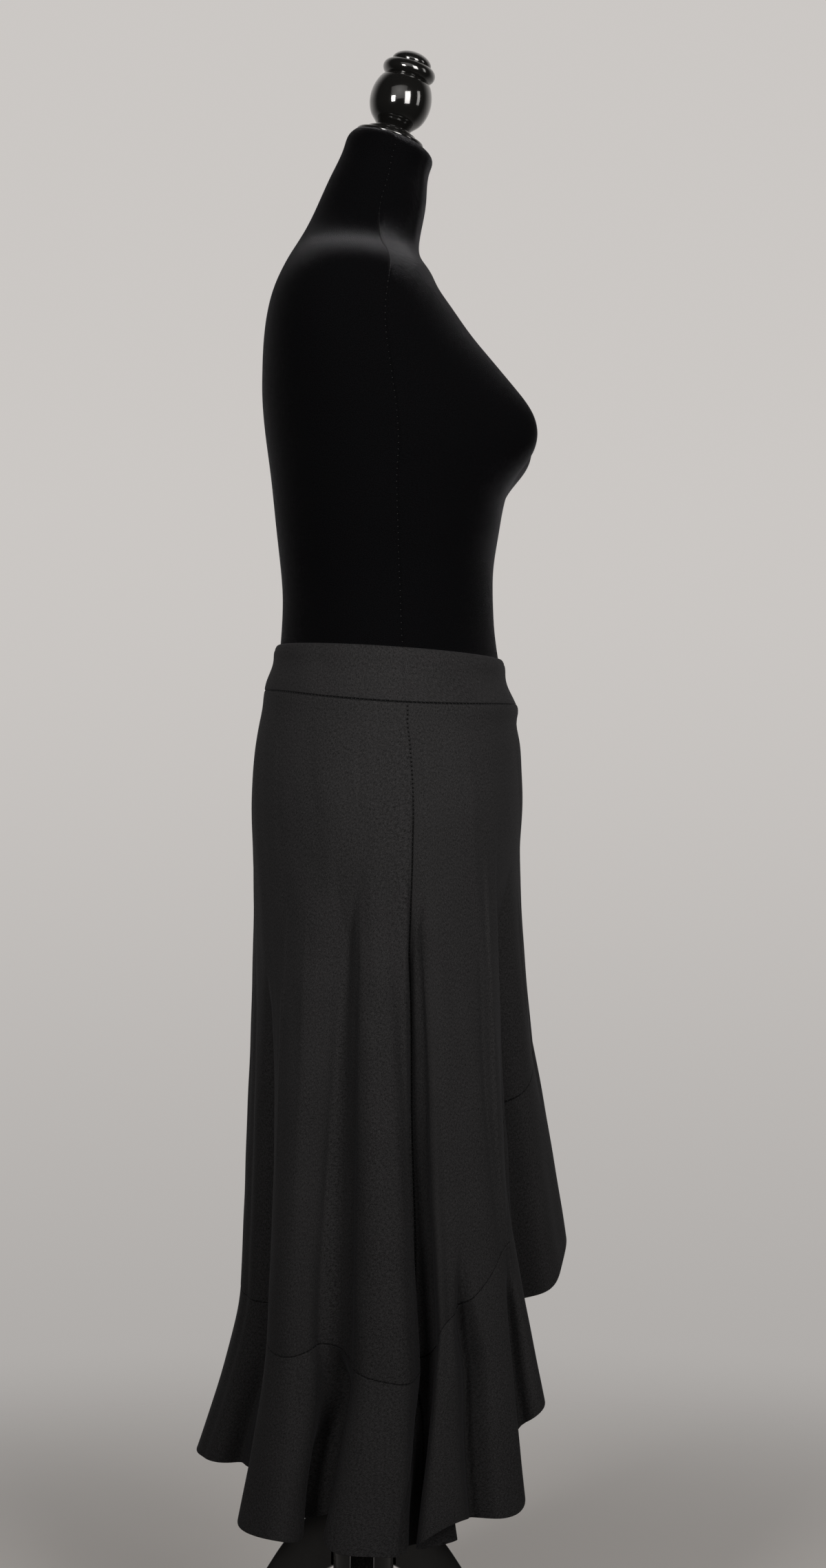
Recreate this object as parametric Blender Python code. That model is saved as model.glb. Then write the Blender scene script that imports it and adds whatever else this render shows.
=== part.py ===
"""An asymmetric skirt with a ruffled hem, hanging on a limbless dress form.

Metres, +Z up. The origin is on the floor, on the pole's axis. The skirt's front faces -Y, and the wearer's
right side, which has the long hem, faces -X. In the tables "front" is the distance ahead of the pole (-Y),
"side" is the distance to the wearer's right of it (-X), and a turn is an angle in degrees round the body:
0 at the centre front, 90 at the right side, 180 at the centre back.
"""

import math

import bmesh
import bpy
import numpy as np

# Cloth and gaps
CLOTH_WALL = 0.0018
BAND_WALL = 0.0030
SEAM_GAP = 0.0003
SEAT_GAP = 0.0003

# The two side seams, as turns round the waist
RIGHT_SEAM_TURN = 83.0
LEFT_SEAM_TURN = 277.0

# Lines that run round the waist, each with its height at the back, the side and the front
WAIST_TOP = {"back": 1.1184, "side": 1.1115, "front": 1.1030}
WAIST_SEAM = {"back": 1.0716, "side": 1.0560, "front": 1.0560}

# How the ruffle swings out between its seam and its hem at the front and at the back: 1 is straight, and
# more hangs before it kicks out
RUFFLE_KICK = {"front": 0.92, "back": 1.35}

# Mesh density
PANEL_COLUMNS = 160
RUFFLE_ROWS = 4
BAND_COLUMNS = 32
FORM_COLUMNS = 40
TURNED_SIDES = 20

# The waistband's outer face: share of its height from the top edge down
BAND_COLUMN_NAMES = ("share", "front", "back", "half_width")
BAND_SECTIONS = (
    (0.00, 0.1470, -0.0915, 0.1400),
    (0.07, 0.1490, -0.0932, 0.1416),
    (0.35, 0.1508, -0.0950, 0.1430),
    (0.60, 0.1535, -0.0985, 0.1457),
    (0.82, 0.1585, -0.1025, 0.1500),
    (1.00, 0.1626, -0.1045, 0.1530),
)

# The skirt's outer face without its folds, by depth below the waist seam
SKIRT_COLUMN_NAMES = ("depth", "front", "back", "half_width")
SKIRT_SECTIONS = (
    (0.000, 0.1629, -0.1045, 0.1532),
    (0.007, 0.1640, -0.1056, 0.1545),
    (0.016, 0.1625, -0.1065, 0.1550),
    (0.035, 0.1646, -0.1100, 0.1585),
    (0.062, 0.1668, -0.1143, 0.1640),
    (0.090, 0.1678, -0.1171, 0.1687),
    (0.116, 0.1674, -0.1183, 0.1715),
    (0.146, 0.1656, -0.1180, 0.1730),
    (0.175, 0.1645, -0.1172, 0.1738),
    (0.230, 0.1630, -0.1160, 0.1750),
    (0.400, 0.1600, -0.1130, 0.1790),
    (0.700, 0.1580, -0.1100, 0.1850),
)

# The folds, from the centre front round to the right: each wave's corners and each valley in turn. The seam
# columns are where the fold crosses the ruffle's seam, and the hem columns where it ends. "starts" is the
# depth below the waist seam at which the fold begins to show.
FOLD_COLUMN_NAMES = (
    "waist_turn", "seam_front", "seam_side", "seam_height", "hem_front", "hem_side", "hem_height", "starts",
)
FOLDS = (
    # The front wave and the valley to its right
    (-12.0, 0.1785, -0.034, 0.706, 0.2095, -0.044, 0.500, 0.150),
    (8.0, 0.1795, 0.004, 0.672, 0.2100, 0.006, 0.463, 0.150),
    (18.0, 0.1700, 0.036, 0.647, 0.1930, 0.040, 0.440, 0.160),
    (30.0, 0.1442, 0.066, 0.612, 0.1512, 0.070, 0.405, 0.185),
    # The narrow wave on the edge of the right front fold, and the tuck behind it
    (40.0, 0.1496, 0.094, 0.545, 0.1857, 0.098, 0.345, 0.150),
    (44.0, 0.1504, 0.108, 0.518, 0.1800, 0.116, 0.330, 0.150),
    (47.0, 0.1475, 0.117, 0.504, 0.1521, 0.122, 0.300, 0.150),
    # The broad wave on the right front fold, and the valley at the right side seam
    (50.0, 0.1422, 0.128, 0.495, 0.1646, 0.148, 0.258, 0.150),
    (56.0, 0.1262, 0.145, 0.469, 0.1322, 0.183, 0.241, 0.150),
    (64.0, 0.0981, 0.160, 0.4415, 0.0976, 0.203, 0.243, 0.140),
    (71.0, 0.0790, 0.169, 0.423, 0.0608, 0.216, 0.226, 0.140),
    (75.0, 0.0763, 0.158, 0.413, 0.0565, 0.200, 0.216, 0.150),
    (79.0, 0.0715, 0.143, 0.400, 0.0960, 0.153, 0.213, 0.175),
    (83.0, 0.0635, 0.143, 0.386, 0.0626, 0.148, 0.208, 0.175),
    # The right side wave, the longest, and its valley
    (87.0, 0.0549, 0.168, 0.377, 0.0473, 0.190, 0.213, 0.150),
    (90.0, 0.0433, 0.189, 0.3755, 0.0421, 0.234, 0.2175, 0.140),
    (93.5, 0.0234, 0.194, 0.379, 0.0073, 0.247, 0.221, 0.130),
    (97.0, 0.0023, 0.187, 0.3835, -0.0289, 0.234, 0.224, 0.140),
    (100.0, -0.0070, 0.172, 0.387, -0.0344, 0.208, 0.234, 0.150),
    (103.0, -0.0123, 0.153, 0.394, -0.0122, 0.158, 0.240, 0.175),
    (107.0, -0.0244, 0.146, 0.402, -0.0304, 0.146, 0.236, 0.180),
    # The right back wave and its valley
    (111.0, -0.0403, 0.152, 0.405, -0.0530, 0.170, 0.220, 0.170),
    (119.0, -0.0652, 0.155, 0.397, -0.0776, 0.196, 0.222, 0.160),
    (130.0, -0.0927, 0.130, 0.398, -0.1151, 0.168, 0.224, 0.180),
    (138.0, -0.0971, 0.108, 0.408, -0.1246, 0.138, 0.230, 0.220),
    (147.0, -0.0926, 0.078, 0.424, -0.1007, 0.076, 0.256, 0.230),
    # The back wave and the valley to its left
    (160.0, -0.1150, 0.045, 0.432, -0.1500, 0.046, 0.264, 0.230),
    (180.0, -0.1305, -0.005, 0.441, -0.1775, -0.008, 0.2675, 0.230),
    (197.0, -0.1180, -0.055, 0.443, -0.1500, -0.060, 0.268, 0.230),
    (206.0, -0.1000, -0.078, 0.446, -0.1030, -0.074, 0.279, 0.230),
    (211.0, -0.0960, -0.090, 0.450, -0.1020, -0.092, 0.280, 0.230),
    # The left back and left side waves, where the hem climbs, and the valley at the left side seam
    (219.0, -0.0980, -0.114, 0.457, -0.1330, -0.130, 0.270, 0.200),
    (229.0, -0.0860, -0.145, 0.472, -0.1140, -0.178, 0.272, 0.180),
    (240.0, -0.0560, -0.150, 0.500, -0.0600, -0.152, 0.312, 0.190),
    (246.0, -0.0430, -0.155, 0.520, -0.0450, -0.160, 0.325, 0.180),
    (253.0, -0.0330, -0.176, 0.540, -0.0430, -0.212, 0.320, 0.150),
    (264.0, 0.0050, -0.196, 0.585, 0.0060, -0.240, 0.355, 0.140),
    (273.0, 0.0320, -0.164, 0.624, 0.0240, -0.160, 0.425, 0.180),
    (277.0, 0.0440, -0.163, 0.644, 0.0400, -0.160, 0.435, 0.180),
    # The left front waves, where the hem is shortest
    (284.0, 0.0600, -0.178, 0.672, 0.0500, -0.216, 0.445, 0.140),
    (299.0, 0.0960, -0.166, 0.722, 0.1120, -0.200, 0.510, 0.130),
    (310.0, 0.1110, -0.133, 0.750, 0.1110, -0.132, 0.575, 0.180),
    (316.0, 0.1220, -0.117, 0.762, 0.1240, -0.116, 0.590, 0.180),
    (326.0, 0.1480, -0.105, 0.778, 0.1720, -0.124, 0.605, 0.140),
    (334.0, 0.1560, -0.084, 0.774, 0.1860, -0.090, 0.592, 0.140),
    (340.0, 0.1530, -0.064, 0.752, 0.1570, -0.068, 0.565, 0.170),
    (343.0, 0.1560, -0.052, 0.738, 0.1590, -0.055, 0.545, 0.170),
)
RIGHT_SEAM_FOLD = 13
LEFT_SEAM_FOLD = 38

# Depths of the skirt's upper rows, then shares of what is left down to the ruffle's seam
UPPER_DEPTHS = (0.0, 0.007, 0.016, 0.042, 0.080, 0.125)
LOWER_SHARES = (0.16, 0.36, 0.57, 0.78, 1.0)

# The dress form above the waistband: the height of each section at the back, side and front, then its reach
# each way. "round" is the superellipse exponent, 2 for an ellipse, and "bust" is how far the bust stands out.
FORM_COLUMN_NAMES = ("z_back", "z_side", "z_front", "back", "front", "half_width", "round", "bust")
FORM_SECTIONS = (
    (1.1184, 1.1115, 1.1030, -0.0878, 0.1430, 0.1362, 2.0, 0.0),
    (1.1400, 1.1400, 1.1350, -0.0862, 0.1388, 0.1335, 2.05, 0.0),
    (1.1680, 1.1680, 1.1680, -0.0854, 0.1372, 0.1325, 2.1, 0.0),
    (1.2000, 1.2000, 1.2000, -0.0875, 0.1378, 0.1350, 2.15, 0.0),
    (1.2360, 1.2360, 1.2360, -0.0914, 0.1430, 0.1415, 2.2, 0.002),
    (1.2660, 1.2660, 1.2660, -0.0945, 0.1480, 0.1475, 2.2, 0.005),
    (1.2900, 1.2900, 1.2900, -0.0970, 0.1535, 0.1525, 2.2, 0.016),
    (1.3120, 1.3120, 1.3120, -0.0997, 0.1600, 0.1565, 2.2, 0.028),
    (1.3350, 1.3350, 1.3350, -0.1028, 0.1620, 0.1600, 2.2, 0.033),
    (1.3580, 1.3580, 1.3580, -0.1053, 0.1580, 0.1630, 2.25, 0.030),
    (1.3820, 1.3820, 1.3820, -0.1067, 0.1490, 0.1660, 2.3, 0.020),
    (1.4080, 1.4080, 1.4080, -0.1064, 0.1350, 0.1690, 2.4, 0.010),
    (1.4380, 1.4380, 1.4380, -0.1046, 0.1145, 0.1712, 2.55, 0.003),
    (1.4680, 1.4680, 1.4680, -0.1000, 0.0945, 0.1712, 2.65, 0.0),
    (1.4920, 1.4920, 1.4900, -0.0930, 0.0800, 0.1660, 2.6, 0.0),
    (1.5100, 1.5080, 1.5060, -0.0860, 0.0730, 0.1530, 2.4, 0.0),
    (1.5260, 1.5220, 1.5190, -0.0790, 0.0655, 0.1290, 2.2, 0.0),
    (1.5420, 1.5360, 1.5310, -0.0705, 0.0600, 0.0960, 2.1, 0.0),
    (1.5610, 1.5530, 1.5450, -0.0600, 0.0592, 0.0730, 2.0, 0.0),
    (1.5840, 1.5740, 1.5640, -0.0490, 0.0625, 0.0610, 2.0, 0.0),
    (1.6150, 1.6020, 1.5900, -0.0350, 0.0667, 0.0550, 2.0, 0.0),
    (1.6470, 1.6340, 1.6220, -0.0204, 0.0707, 0.0510, 2.0, 0.0),
    (1.6625, 1.6510, 1.6395, -0.0125, 0.0690, 0.0485, 2.0, 0.0),
    (1.6650, 1.6545, 1.6440, -0.0090, 0.0640, 0.0440, 2.0, 0.0),
)

# Under the cloth the form fills it: its rows as shares of the waistband and as depths below its seam, then
# its flat base, with the height and the inset of each row of the rounded edge
FORM_BAND_SHARES = (0.07, 0.35, 0.60, 0.82, 1.00)
FORM_SKIRT_DEPTHS = (0.020, 0.042, 0.080, 0.125)
FORM_BASE = 0.893
FORM_BASE_EDGE = ((0.0080, 0.0010), (0.0022, 0.0035), (0.0, 0.0080))
BUST_TURN = 30.0
BUST_SPREAD = 19.0

# The turned wood on the neck: distance along its axis and radius. The axis leans forward.
NECK_LEAN = math.atan2(1.6650 - 1.6440, 0.0640 + 0.0090)
NECK_TOP = {"front": 0.0275, "height": 1.6545}
CAP_PROFILE = (
    (0.0, 0.0), (0.0, 0.0350), (0.0012, 0.0362), (0.0034, 0.0362), (0.0048, 0.0345), (0.0056, 0.0282),
    (0.0068, 0.0272), (0.0086, 0.0265), (0.0100, 0.0235), (0.0104, 0.0),
)
FINIAL_PROFILE = (
    (0.0, 0.0), (0.0, 0.0188), (0.0022, 0.0180), (0.0052, 0.0206), (0.0110, 0.0262), (0.0190, 0.0305),
    (0.0290, 0.0327), (0.0390, 0.0324), (0.0480, 0.0299), (0.0545, 0.0264), (0.0572, 0.0240),
    (0.0592, 0.0262), (0.0625, 0.0281), (0.0660, 0.0284), (0.0695, 0.0270), (0.0722, 0.0238),
    (0.0732, 0.0208), (0.0748, 0.0212), (0.0775, 0.0204), (0.0810, 0.0172), (0.0840, 0.0118), (0.0860, 0.0),
)

# The stand
POLE_RADIUS = 0.0125
SOCKET_BORE = 0.0128
FLANGE_RADIUS = 0.045
FLANGE_THICK = 0.006
COLLAR_RADIUS = 0.020
COLLAR_DROP = 0.034
HUB_RADIUS = 0.032
HUB_BOTTOM = 0.136
HUB_TOP = 0.236
HUB_SOCKET_DEPTH = 0.070
LEG_THICK = 0.025
LEG_TURNS = {"leg_right": 90.0, "leg_back_left": 210.0, "leg_front_left": 330.0}
# The leg's outline: distance from the pole's axis, and the heights of its lower and upper edges
LEG_STATIONS = (
    (0.0325, 0.142, 0.212),
    (0.0500, 0.131, 0.203),
    (0.0700, 0.116, 0.185),
    (0.0945, 0.084, 0.158),
    (0.1190, 0.049, 0.123),
    (0.1450, 0.020, 0.087),
    (0.1700, 0.004, 0.059),
    (0.1900, 0.0, 0.042),
    (0.2150, 0.0, 0.029),
    (0.2380, 0.0, 0.022),
    (0.2530, 0.0, 0.018),
)
LEG_BEVEL = 0.003

COLOURS = {
    "crepe": ((0.022, 0.022, 0.023, 1.0), 0.78),
    "velvet": ((0.004, 0.004, 0.0045, 1.0), 0.90),
    "lacquer": ((0.006, 0.006, 0.006, 1.0), 0.12),
    "steel": ((0.030, 0.030, 0.032, 1.0), 0.35),
}


def open_slopes(knots, values):
    """The slopes at its knots of the smoothest cubic through an open run of values."""
    spans = np.diff(knots)
    rises = np.diff(values, axis=0) / spans[:, None]
    count = len(knots)
    matrix = np.zeros((count, count))
    target = np.zeros_like(values)
    matrix[0, :2] = matrix[-1, -1:-3:-1] = (2.0, 1.0)
    target[0], target[-1] = 3.0 * rises[0], 3.0 * rises[-1]
    for knot in range(1, count - 1):
        before, after = spans[knot - 1], spans[knot]
        matrix[knot, knot - 1 : knot + 2] = (after, 2.0 * (before + after), before)
        target[knot] = 3.0 * (after * rises[knot - 1] + before * rises[knot])
    return np.linalg.solve(matrix, target)


def closed_slopes(knots, values, length):
    """The slopes at its knots of the smoothest cubic through values that come round again after a length."""
    spans = np.diff(np.append(knots, knots[0] + length))
    rises = (np.roll(values, -1, axis=0) - values) / spans[:, None]
    count = len(knots)
    matrix = np.zeros((count, count))
    target = np.zeros_like(values)
    for knot in range(count):
        before, after = spans[knot - 1], spans[knot]
        matrix[knot, knot - 1] += after
        matrix[knot, knot] += 2.0 * (before + after)
        matrix[knot, (knot + 1) % count] += before
        target[knot] = 3.0 * (after * rises[knot - 1] + before * rises[knot])
    return np.linalg.solve(matrix, target)


def steady_slopes(knots, values, length, climb):
    """Slopes that keep a closed run of rising values rising. Once round, the values climb by the given sum."""
    spans = np.diff(np.append(knots, knots[0] + length))
    rises = np.diff(np.append(values, values[0] + climb)) / spans
    return 2.0 * rises * np.roll(rises, 1) / (rises + np.roll(rises, 1))


def hermite(knots, values, slopes, places):
    """The cubic through values with the given slopes, at places between the first knot and the last."""
    index = np.clip(np.searchsorted(knots, places, side="right") - 1, 0, len(knots) - 2)
    span = (knots[index + 1] - knots[index])[..., None]
    share = np.clip((places - knots[index])[..., None] / span, 0.0, 1.0)
    return (
        (2 * share**3 - 3 * share**2 + 1) * values[index]
        + (share**3 - 2 * share**2 + share) * span * slopes[index]
        + (3 * share**2 - 2 * share**3) * values[index + 1]
        + (share**3 - share**2) * span * slopes[index + 1]
    )


def section_curve(sections):
    """The front, back and half width of a run of sections as a function of their first column."""
    table = np.array(sections)
    knots, values = table[:, 0], table[:, 1:]
    slopes = open_slopes(knots, values)
    return lambda places: np.moveaxis(hermite(knots, values, slopes, np.asarray(places, float)), -1, 0)


def line_height(line, turns):
    """The height of a line round the body, given at its back, side and front."""
    ahead = np.cos(np.radians(turns))
    tilt = (line["front"] - line["back"]) / 2
    dip = (line["front"] + line["back"]) / 2 - line["side"]
    return line["side"] + tilt * ahead + dip * ahead**2


def ring(front, back, half_width, turns, roundness=2.0):
    """Distances ahead of the pole and to the right of it, round one section."""
    ahead, aside = np.cos(np.radians(turns)), np.sin(np.radians(turns))
    power = 2.0 / roundness
    middle, half_depth = (front + back) / 2, (front - back) / 2
    return (
        middle + half_depth * np.sign(ahead) * np.abs(ahead) ** power,
        half_width * np.sign(aside) * np.abs(aside) ** power,
    )


def place(ahead, aside, height):
    """World points from distances ahead, to the wearer's right, and up."""
    return np.stack(np.broadcast_arrays(-np.asarray(aside), -np.asarray(ahead), np.asarray(height)), axis=-1)


class Folds:
    """The fold table as smooth functions of the distance along the cloth, all the way round."""

    def __init__(self):
        table = np.array(FOLDS)
        turns, values = table[:, :1], table[:, 1:]
        seam, hem = table[:, 1:3], table[:, 4:6]
        steps = (
            np.linalg.norm(np.roll(seam, -1, axis=0) - seam, axis=1)
            + np.linalg.norm(np.roll(hem, -1, axis=0) - hem, axis=1)
        ) / 2
        starts = np.append(0.0, np.cumsum(steps))
        self.knots, self.length = starts[:-1], float(starts[-1])
        slopes = closed_slopes(self.knots, values, self.length)
        turning = steady_slopes(self.knots, turns[:, 0], self.length, 360.0)[:, None]
        self.starts = starts
        self.values = np.vstack([np.hstack([turns, values]), np.hstack([turns[:1] + 360.0, values[:1]])])
        self.slopes = np.hstack([turning, slopes])
        self.slopes = np.vstack([self.slopes, self.slopes[:1]])

    def at(self, along):
        rounds, place = np.divmod(np.asarray(along, float), self.length)
        values = hermite(self.starts, self.values, self.slopes, place)
        found = {name: values[..., i] for i, name in enumerate(FOLD_COLUMN_NAMES)}
        found["waist_turn"] = found["waist_turn"] + 360.0 * rounds
        return found


skirt_section = section_curve(SKIRT_SECTIONS)
band_section = section_curve(BAND_SECTIONS)


def skirt_base(turns, depth):
    """The skirt's outer face without folds."""
    front, back, half_width = skirt_section(depth)
    return ring(front, back, half_width, turns)


def panel_points(folds, along, upper_depth, lower_share):
    """Outer points of the skirt, one row: a depth for the upper rows, or a share of the rest below them."""
    fold = folds.at(along)
    turns = fold["waist_turn"]
    waist = line_height(WAIST_SEAM, turns)
    full_depth = waist - fold["seam_height"]
    depth = upper_depth + lower_share * (full_depth - upper_depth)
    ahead, aside = skirt_base(turns, depth)
    seam_ahead, seam_aside = skirt_base(turns, full_depth)
    opened = np.clip((depth - fold["starts"]) / (full_depth - fold["starts"]), 0.0, 1.0)
    growth = opened**1.15 * (1.0 - 0.25 * (1.0 - opened) ** 2)
    ahead = ahead + growth * (fold["seam_front"] - seam_ahead)
    aside = aside + growth * (fold["seam_side"] - seam_aside)
    return place(ahead, aside, waist - depth)


def ruffle_points(folds, along, share):
    """Outer points of the ruffle, one row, at a share of the way from its seam to its hem."""
    fold = folds.at(along)
    backward = (1.0 - np.cos(np.radians(fold["waist_turn"]))) / 2
    kick = share ** (RUFFLE_KICK["front"] + backward * (RUFFLE_KICK["back"] - RUFFLE_KICK["front"]))
    return place(
        fold["seam_front"] + kick * (fold["hem_front"] - fold["seam_front"]),
        fold["seam_side"] + kick * (fold["hem_side"] - fold["seam_side"]),
        fold["seam_height"] + share * (fold["hem_height"] - fold["seam_height"]),
    )


def outward(points):
    """Unit normals of a grid of rows, top to bottom, whose columns close round the body."""
    across = np.roll(points, -1, axis=1) - np.roll(points, 1, axis=1)
    down = np.gradient(points, axis=0)
    normals = np.cross(down, across)
    normals /= np.linalg.norm(normals, axis=-1, keepdims=True)
    centre = points.mean(axis=1, keepdims=True)
    facing = ((points - centre) * normals)[..., :2].sum(axis=(1, 2))
    return normals * np.sign(facing)[:, None, None]


def drawn_in(points, distance):
    """A ring of points moved in level towards its own inside."""
    across = np.roll(points, -1, axis=0) - np.roll(points, 1, axis=0)
    sideways = np.stack([across[:, 1], -across[:, 0], np.zeros(len(points))], axis=-1)
    sideways /= np.linalg.norm(sideways, axis=-1, keepdims=True)
    facing = np.sign(((points - points.mean(axis=0)) * sideways).sum())
    return points - distance * facing * sideways


def add_object(name, points, faces, colour, smooth=True):
    """A closed mesh object, its faces turned outwards."""
    mesh = bpy.data.meshes.new(name)
    mesh.from_pydata([tuple(p) for p in points], [], faces)
    work = bmesh.new()
    work.from_mesh(mesh)
    bmesh.ops.recalc_face_normals(work, faces=work.faces[:])
    if work.calc_volume(signed=True) < 0:
        bmesh.ops.reverse_faces(work, faces=work.faces[:])
    work.to_mesh(mesh)
    work.free()
    if smooth:
        mesh.shade_smooth()
        mesh.set_sharp_from_angle(angle=math.radians(40.0))
    made = bpy.data.objects.new(name, mesh)
    bpy.context.scene.collection.objects.link(made)
    mesh.materials.append(finish(colour))
    return made


def finish(name):
    """The plain material of one finish."""
    made = bpy.data.materials.get(name)
    if made:
        return made
    made = bpy.data.materials.new(name)
    made.use_nodes = True
    shader = made.node_tree.nodes["Principled BSDF"]
    colour, roughness = COLOURS[name]
    shader.inputs["Base Color"].default_value = colour
    shader.inputs["Roughness"].default_value = roughness
    return made


def wall(name, outer, inner, colour):
    """A closed wall between an outer and an inner grid of points."""
    rows, columns = outer.shape[:2]
    points = np.concatenate([outer.reshape(-1, 3), inner.reshape(-1, 3)])
    back = rows * columns

    def corner(row, column, layer):
        return layer * back + row * columns + column

    faces = []
    for row in range(rows - 1):
        for column in range(columns - 1):
            square = [(row, column), (row, column + 1), (row + 1, column + 1), (row + 1, column)]
            faces.append([corner(r, c, 0) for r, c in square])
            faces.append([corner(r, c, 1) for r, c in reversed(square)])
    # Both rims of a seam are split along the same diagonals, so that they can't touch
    ends = [((row, c), (row, c + 1)) for row in (0, rows - 1) for c in range(columns - 1)]
    ends += [((r, column), (r + 1, column)) for column in (0, columns - 1) for r in range(rows - 1)]
    for here, after in ends:
        faces.append([corner(*here, 0), corner(*after, 0), corner(*here, 1)])
        faces.append([corner(*after, 0), corner(*after, 1), corner(*here, 1)])
    return add_object(name, points, faces, colour)


def cut_panels(outer, inner, left_column):
    """The back and front panels of a closed grid whose first column is the right side seam. Each panel's side
    edges stand half a seam gap back from the seam."""
    across = np.roll(outer, -1, axis=1) - np.roll(outer, 1, axis=1)
    across /= np.linalg.norm(across, axis=-1, keepdims=True)
    columns = {
        "back": np.arange(0, left_column + 1),
        "front": np.append(np.arange(left_column, outer.shape[1]), 0),
    }
    panels = {}
    for name, chosen in columns.items():
        layers = [outer[:, chosen], inner[:, chosen]]
        for layer in layers:
            layer[:, 0] += SEAM_GAP / 2 * across[:, chosen[0]]
            layer[:, -1] -= SEAM_GAP / 2 * across[:, chosen[-1]]
        panels[name] = layers
    return panels


def cloth_columns(folds):
    """Distances along the cloth, from the right side seam round the back, and the left side seam's column."""
    right, left = folds.knots[RIGHT_SEAM_FOLD], folds.knots[LEFT_SEAM_FOLD]
    left_column = round(PANEL_COLUMNS * (left - right) / folds.length)
    back = np.linspace(right, left, left_column + 1)
    front = np.linspace(left, right + folds.length, PANEL_COLUMNS - left_column + 1)
    return np.concatenate([back, front[1:-1]]), left_column


def build_skirt():
    """The front and back panels and the two lengths of ruffle, cut from one continuous surface."""
    folds = Folds()
    along, left_column = cloth_columns(folds)
    rows = [panel_points(folds, along, depth, 0.0) for depth in UPPER_DEPTHS]
    rows += [panel_points(folds, along, UPPER_DEPTHS[-1], share) for share in LOWER_SHARES]
    panel_count = len(rows)
    rows += [ruffle_points(folds, along, share) for share in np.linspace(0.0, 1.0, RUFFLE_ROWS)]
    grid = np.array(rows)
    normals = outward(grid)
    last, first = panel_count - 1, panel_count
    shared = normals[last - 1] + normals[first + 1]
    shared /= np.linalg.norm(shared, axis=-1, keepdims=True)
    normals[last] = normals[first] = shared
    along_seam = np.roll(grid[last], -1, axis=0) - np.roll(grid[last], 1, axis=0)
    down = np.cross(along_seam, shared)
    down *= -np.sign(down[:, 2:]) / np.linalg.norm(down, axis=-1, keepdims=True)
    grid[0, :, 2] -= SEAM_GAP / 2
    grid[last] -= SEAM_GAP / 2 * down
    grid[first] += SEAM_GAP / 2 * down
    for name, (outer, inner) in cut_panels(grid, grid - CLOTH_WALL * normals, left_column).items():
        wall(f"skirt_{name}", outer[:panel_count], inner[:panel_count], "crepe")
        wall(f"ruffle_{name}", outer[panel_count:], inner[panel_count:], "crepe")


def band_points(turns, share):
    """Outer points of the waistband, one row, at a share of its height from the top edge."""
    front, back, half_width = band_section(share)
    ahead, aside = ring(front, back, half_width, turns)
    top = line_height(WAIST_TOP, turns)
    bottom = line_height(WAIST_SEAM, turns) + SEAM_GAP / 2
    return place(ahead, aside, top + share * (bottom - top))


def build_waistband():
    """The front and back halves of the wide pull-on waistband."""
    back = np.linspace(RIGHT_SEAM_TURN, LEFT_SEAM_TURN, BAND_COLUMNS + 1)
    front = np.linspace(LEFT_SEAM_TURN, RIGHT_SEAM_TURN + 360.0, BAND_COLUMNS + 1)
    turns = np.concatenate([back, front[1:-1]])
    grid = np.array([band_points(turns, section[0]) for section in BAND_SECTIONS])
    inner = np.array([drawn_in(row, BAND_WALL) for row in grid])
    for name, (outer, inside) in cut_panels(grid, inner, BAND_COLUMNS).items():
        wall(f"waistband_{name}", outer, inside, "crepe")


def form_points(section, turns):
    """One section of the dress form."""
    row = dict(zip(FORM_COLUMN_NAMES, section))
    ahead, aside = ring(row["front"], row["back"], row["half_width"], turns, row["round"])
    around = (np.asarray(turns) + 180.0) % 360.0 - 180.0
    swell = np.exp(-(((np.abs(around) - BUST_TURN) / BUST_SPREAD) ** 2))
    heights = line_height({"back": row["z_back"], "side": row["z_side"], "front": row["z_front"]}, turns)
    return place(ahead + row["bust"] * swell, aside, heights)


def build_form():
    """The covered torso, from the hips to the top of the neck."""
    turns = np.arange(FORM_COLUMNS) * 360.0 / FORM_COLUMNS
    waist = line_height(WAIST_SEAM, turns)
    rings = []
    for rise, inset in reversed(FORM_BASE_EDGE):
        ahead, aside = skirt_base(turns, waist - FORM_BASE - rise)
        rings.append(drawn_in(place(ahead, aside, FORM_BASE + rise), CLOTH_WALL + SEAT_GAP + inset))
    for depth in reversed(FORM_SKIRT_DEPTHS):
        ahead, aside = skirt_base(turns, np.full_like(turns, depth))
        rings.append(drawn_in(place(ahead, aside, waist - depth), CLOTH_WALL + SEAT_GAP))
    for share in reversed(FORM_BAND_SHARES):
        rings.append(drawn_in(band_points(turns, share), BAND_WALL + SEAT_GAP))
    rings = np.array(rings + [form_points(section, turns) for section in FORM_SECTIONS])
    count, around = rings.shape[:2]
    faces = [list(range(around)), list(range((count - 1) * around, count * around))]
    for row in range(count - 1):
        for column in range(around):
            after = (column + 1) % around
            lower, upper = row * around, (row + 1) * around
            faces.append([lower + column, lower + after, upper + after, upper + column])
    add_object("form_torso", rings.reshape(-1, 3), faces, "velvet")


def turned(name, profile, colour, at=(0.0, 0.0, 0.0), lean=0.0, sides=TURNED_SIDES):
    """A turned piece: profile holds (distance along the axis, radius) and starts and ends on the axis."""
    points, rings = [], []
    for along, radius in profile:
        if radius == 0.0:
            rings.append([len(points)] * sides)
            points.append((0.0, 0.0, along))
            continue
        rings.append(list(range(len(points), len(points) + sides)))
        for side in range(sides):
            angle = 2 * math.pi * side / sides
            points.append((radius * math.cos(angle), radius * math.sin(angle), along))
    faces = []
    for lower, upper in zip(rings, rings[1:]):
        for side in range(sides):
            after = (side + 1) % sides
            square = [lower[side], lower[after], upper[after], upper[side]]
            faces.append(list(dict.fromkeys(square)))
    made = add_object(name, points, faces, colour)
    made.rotation_euler = (lean, 0.0, 0.0)
    made.location = at
    return made


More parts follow.
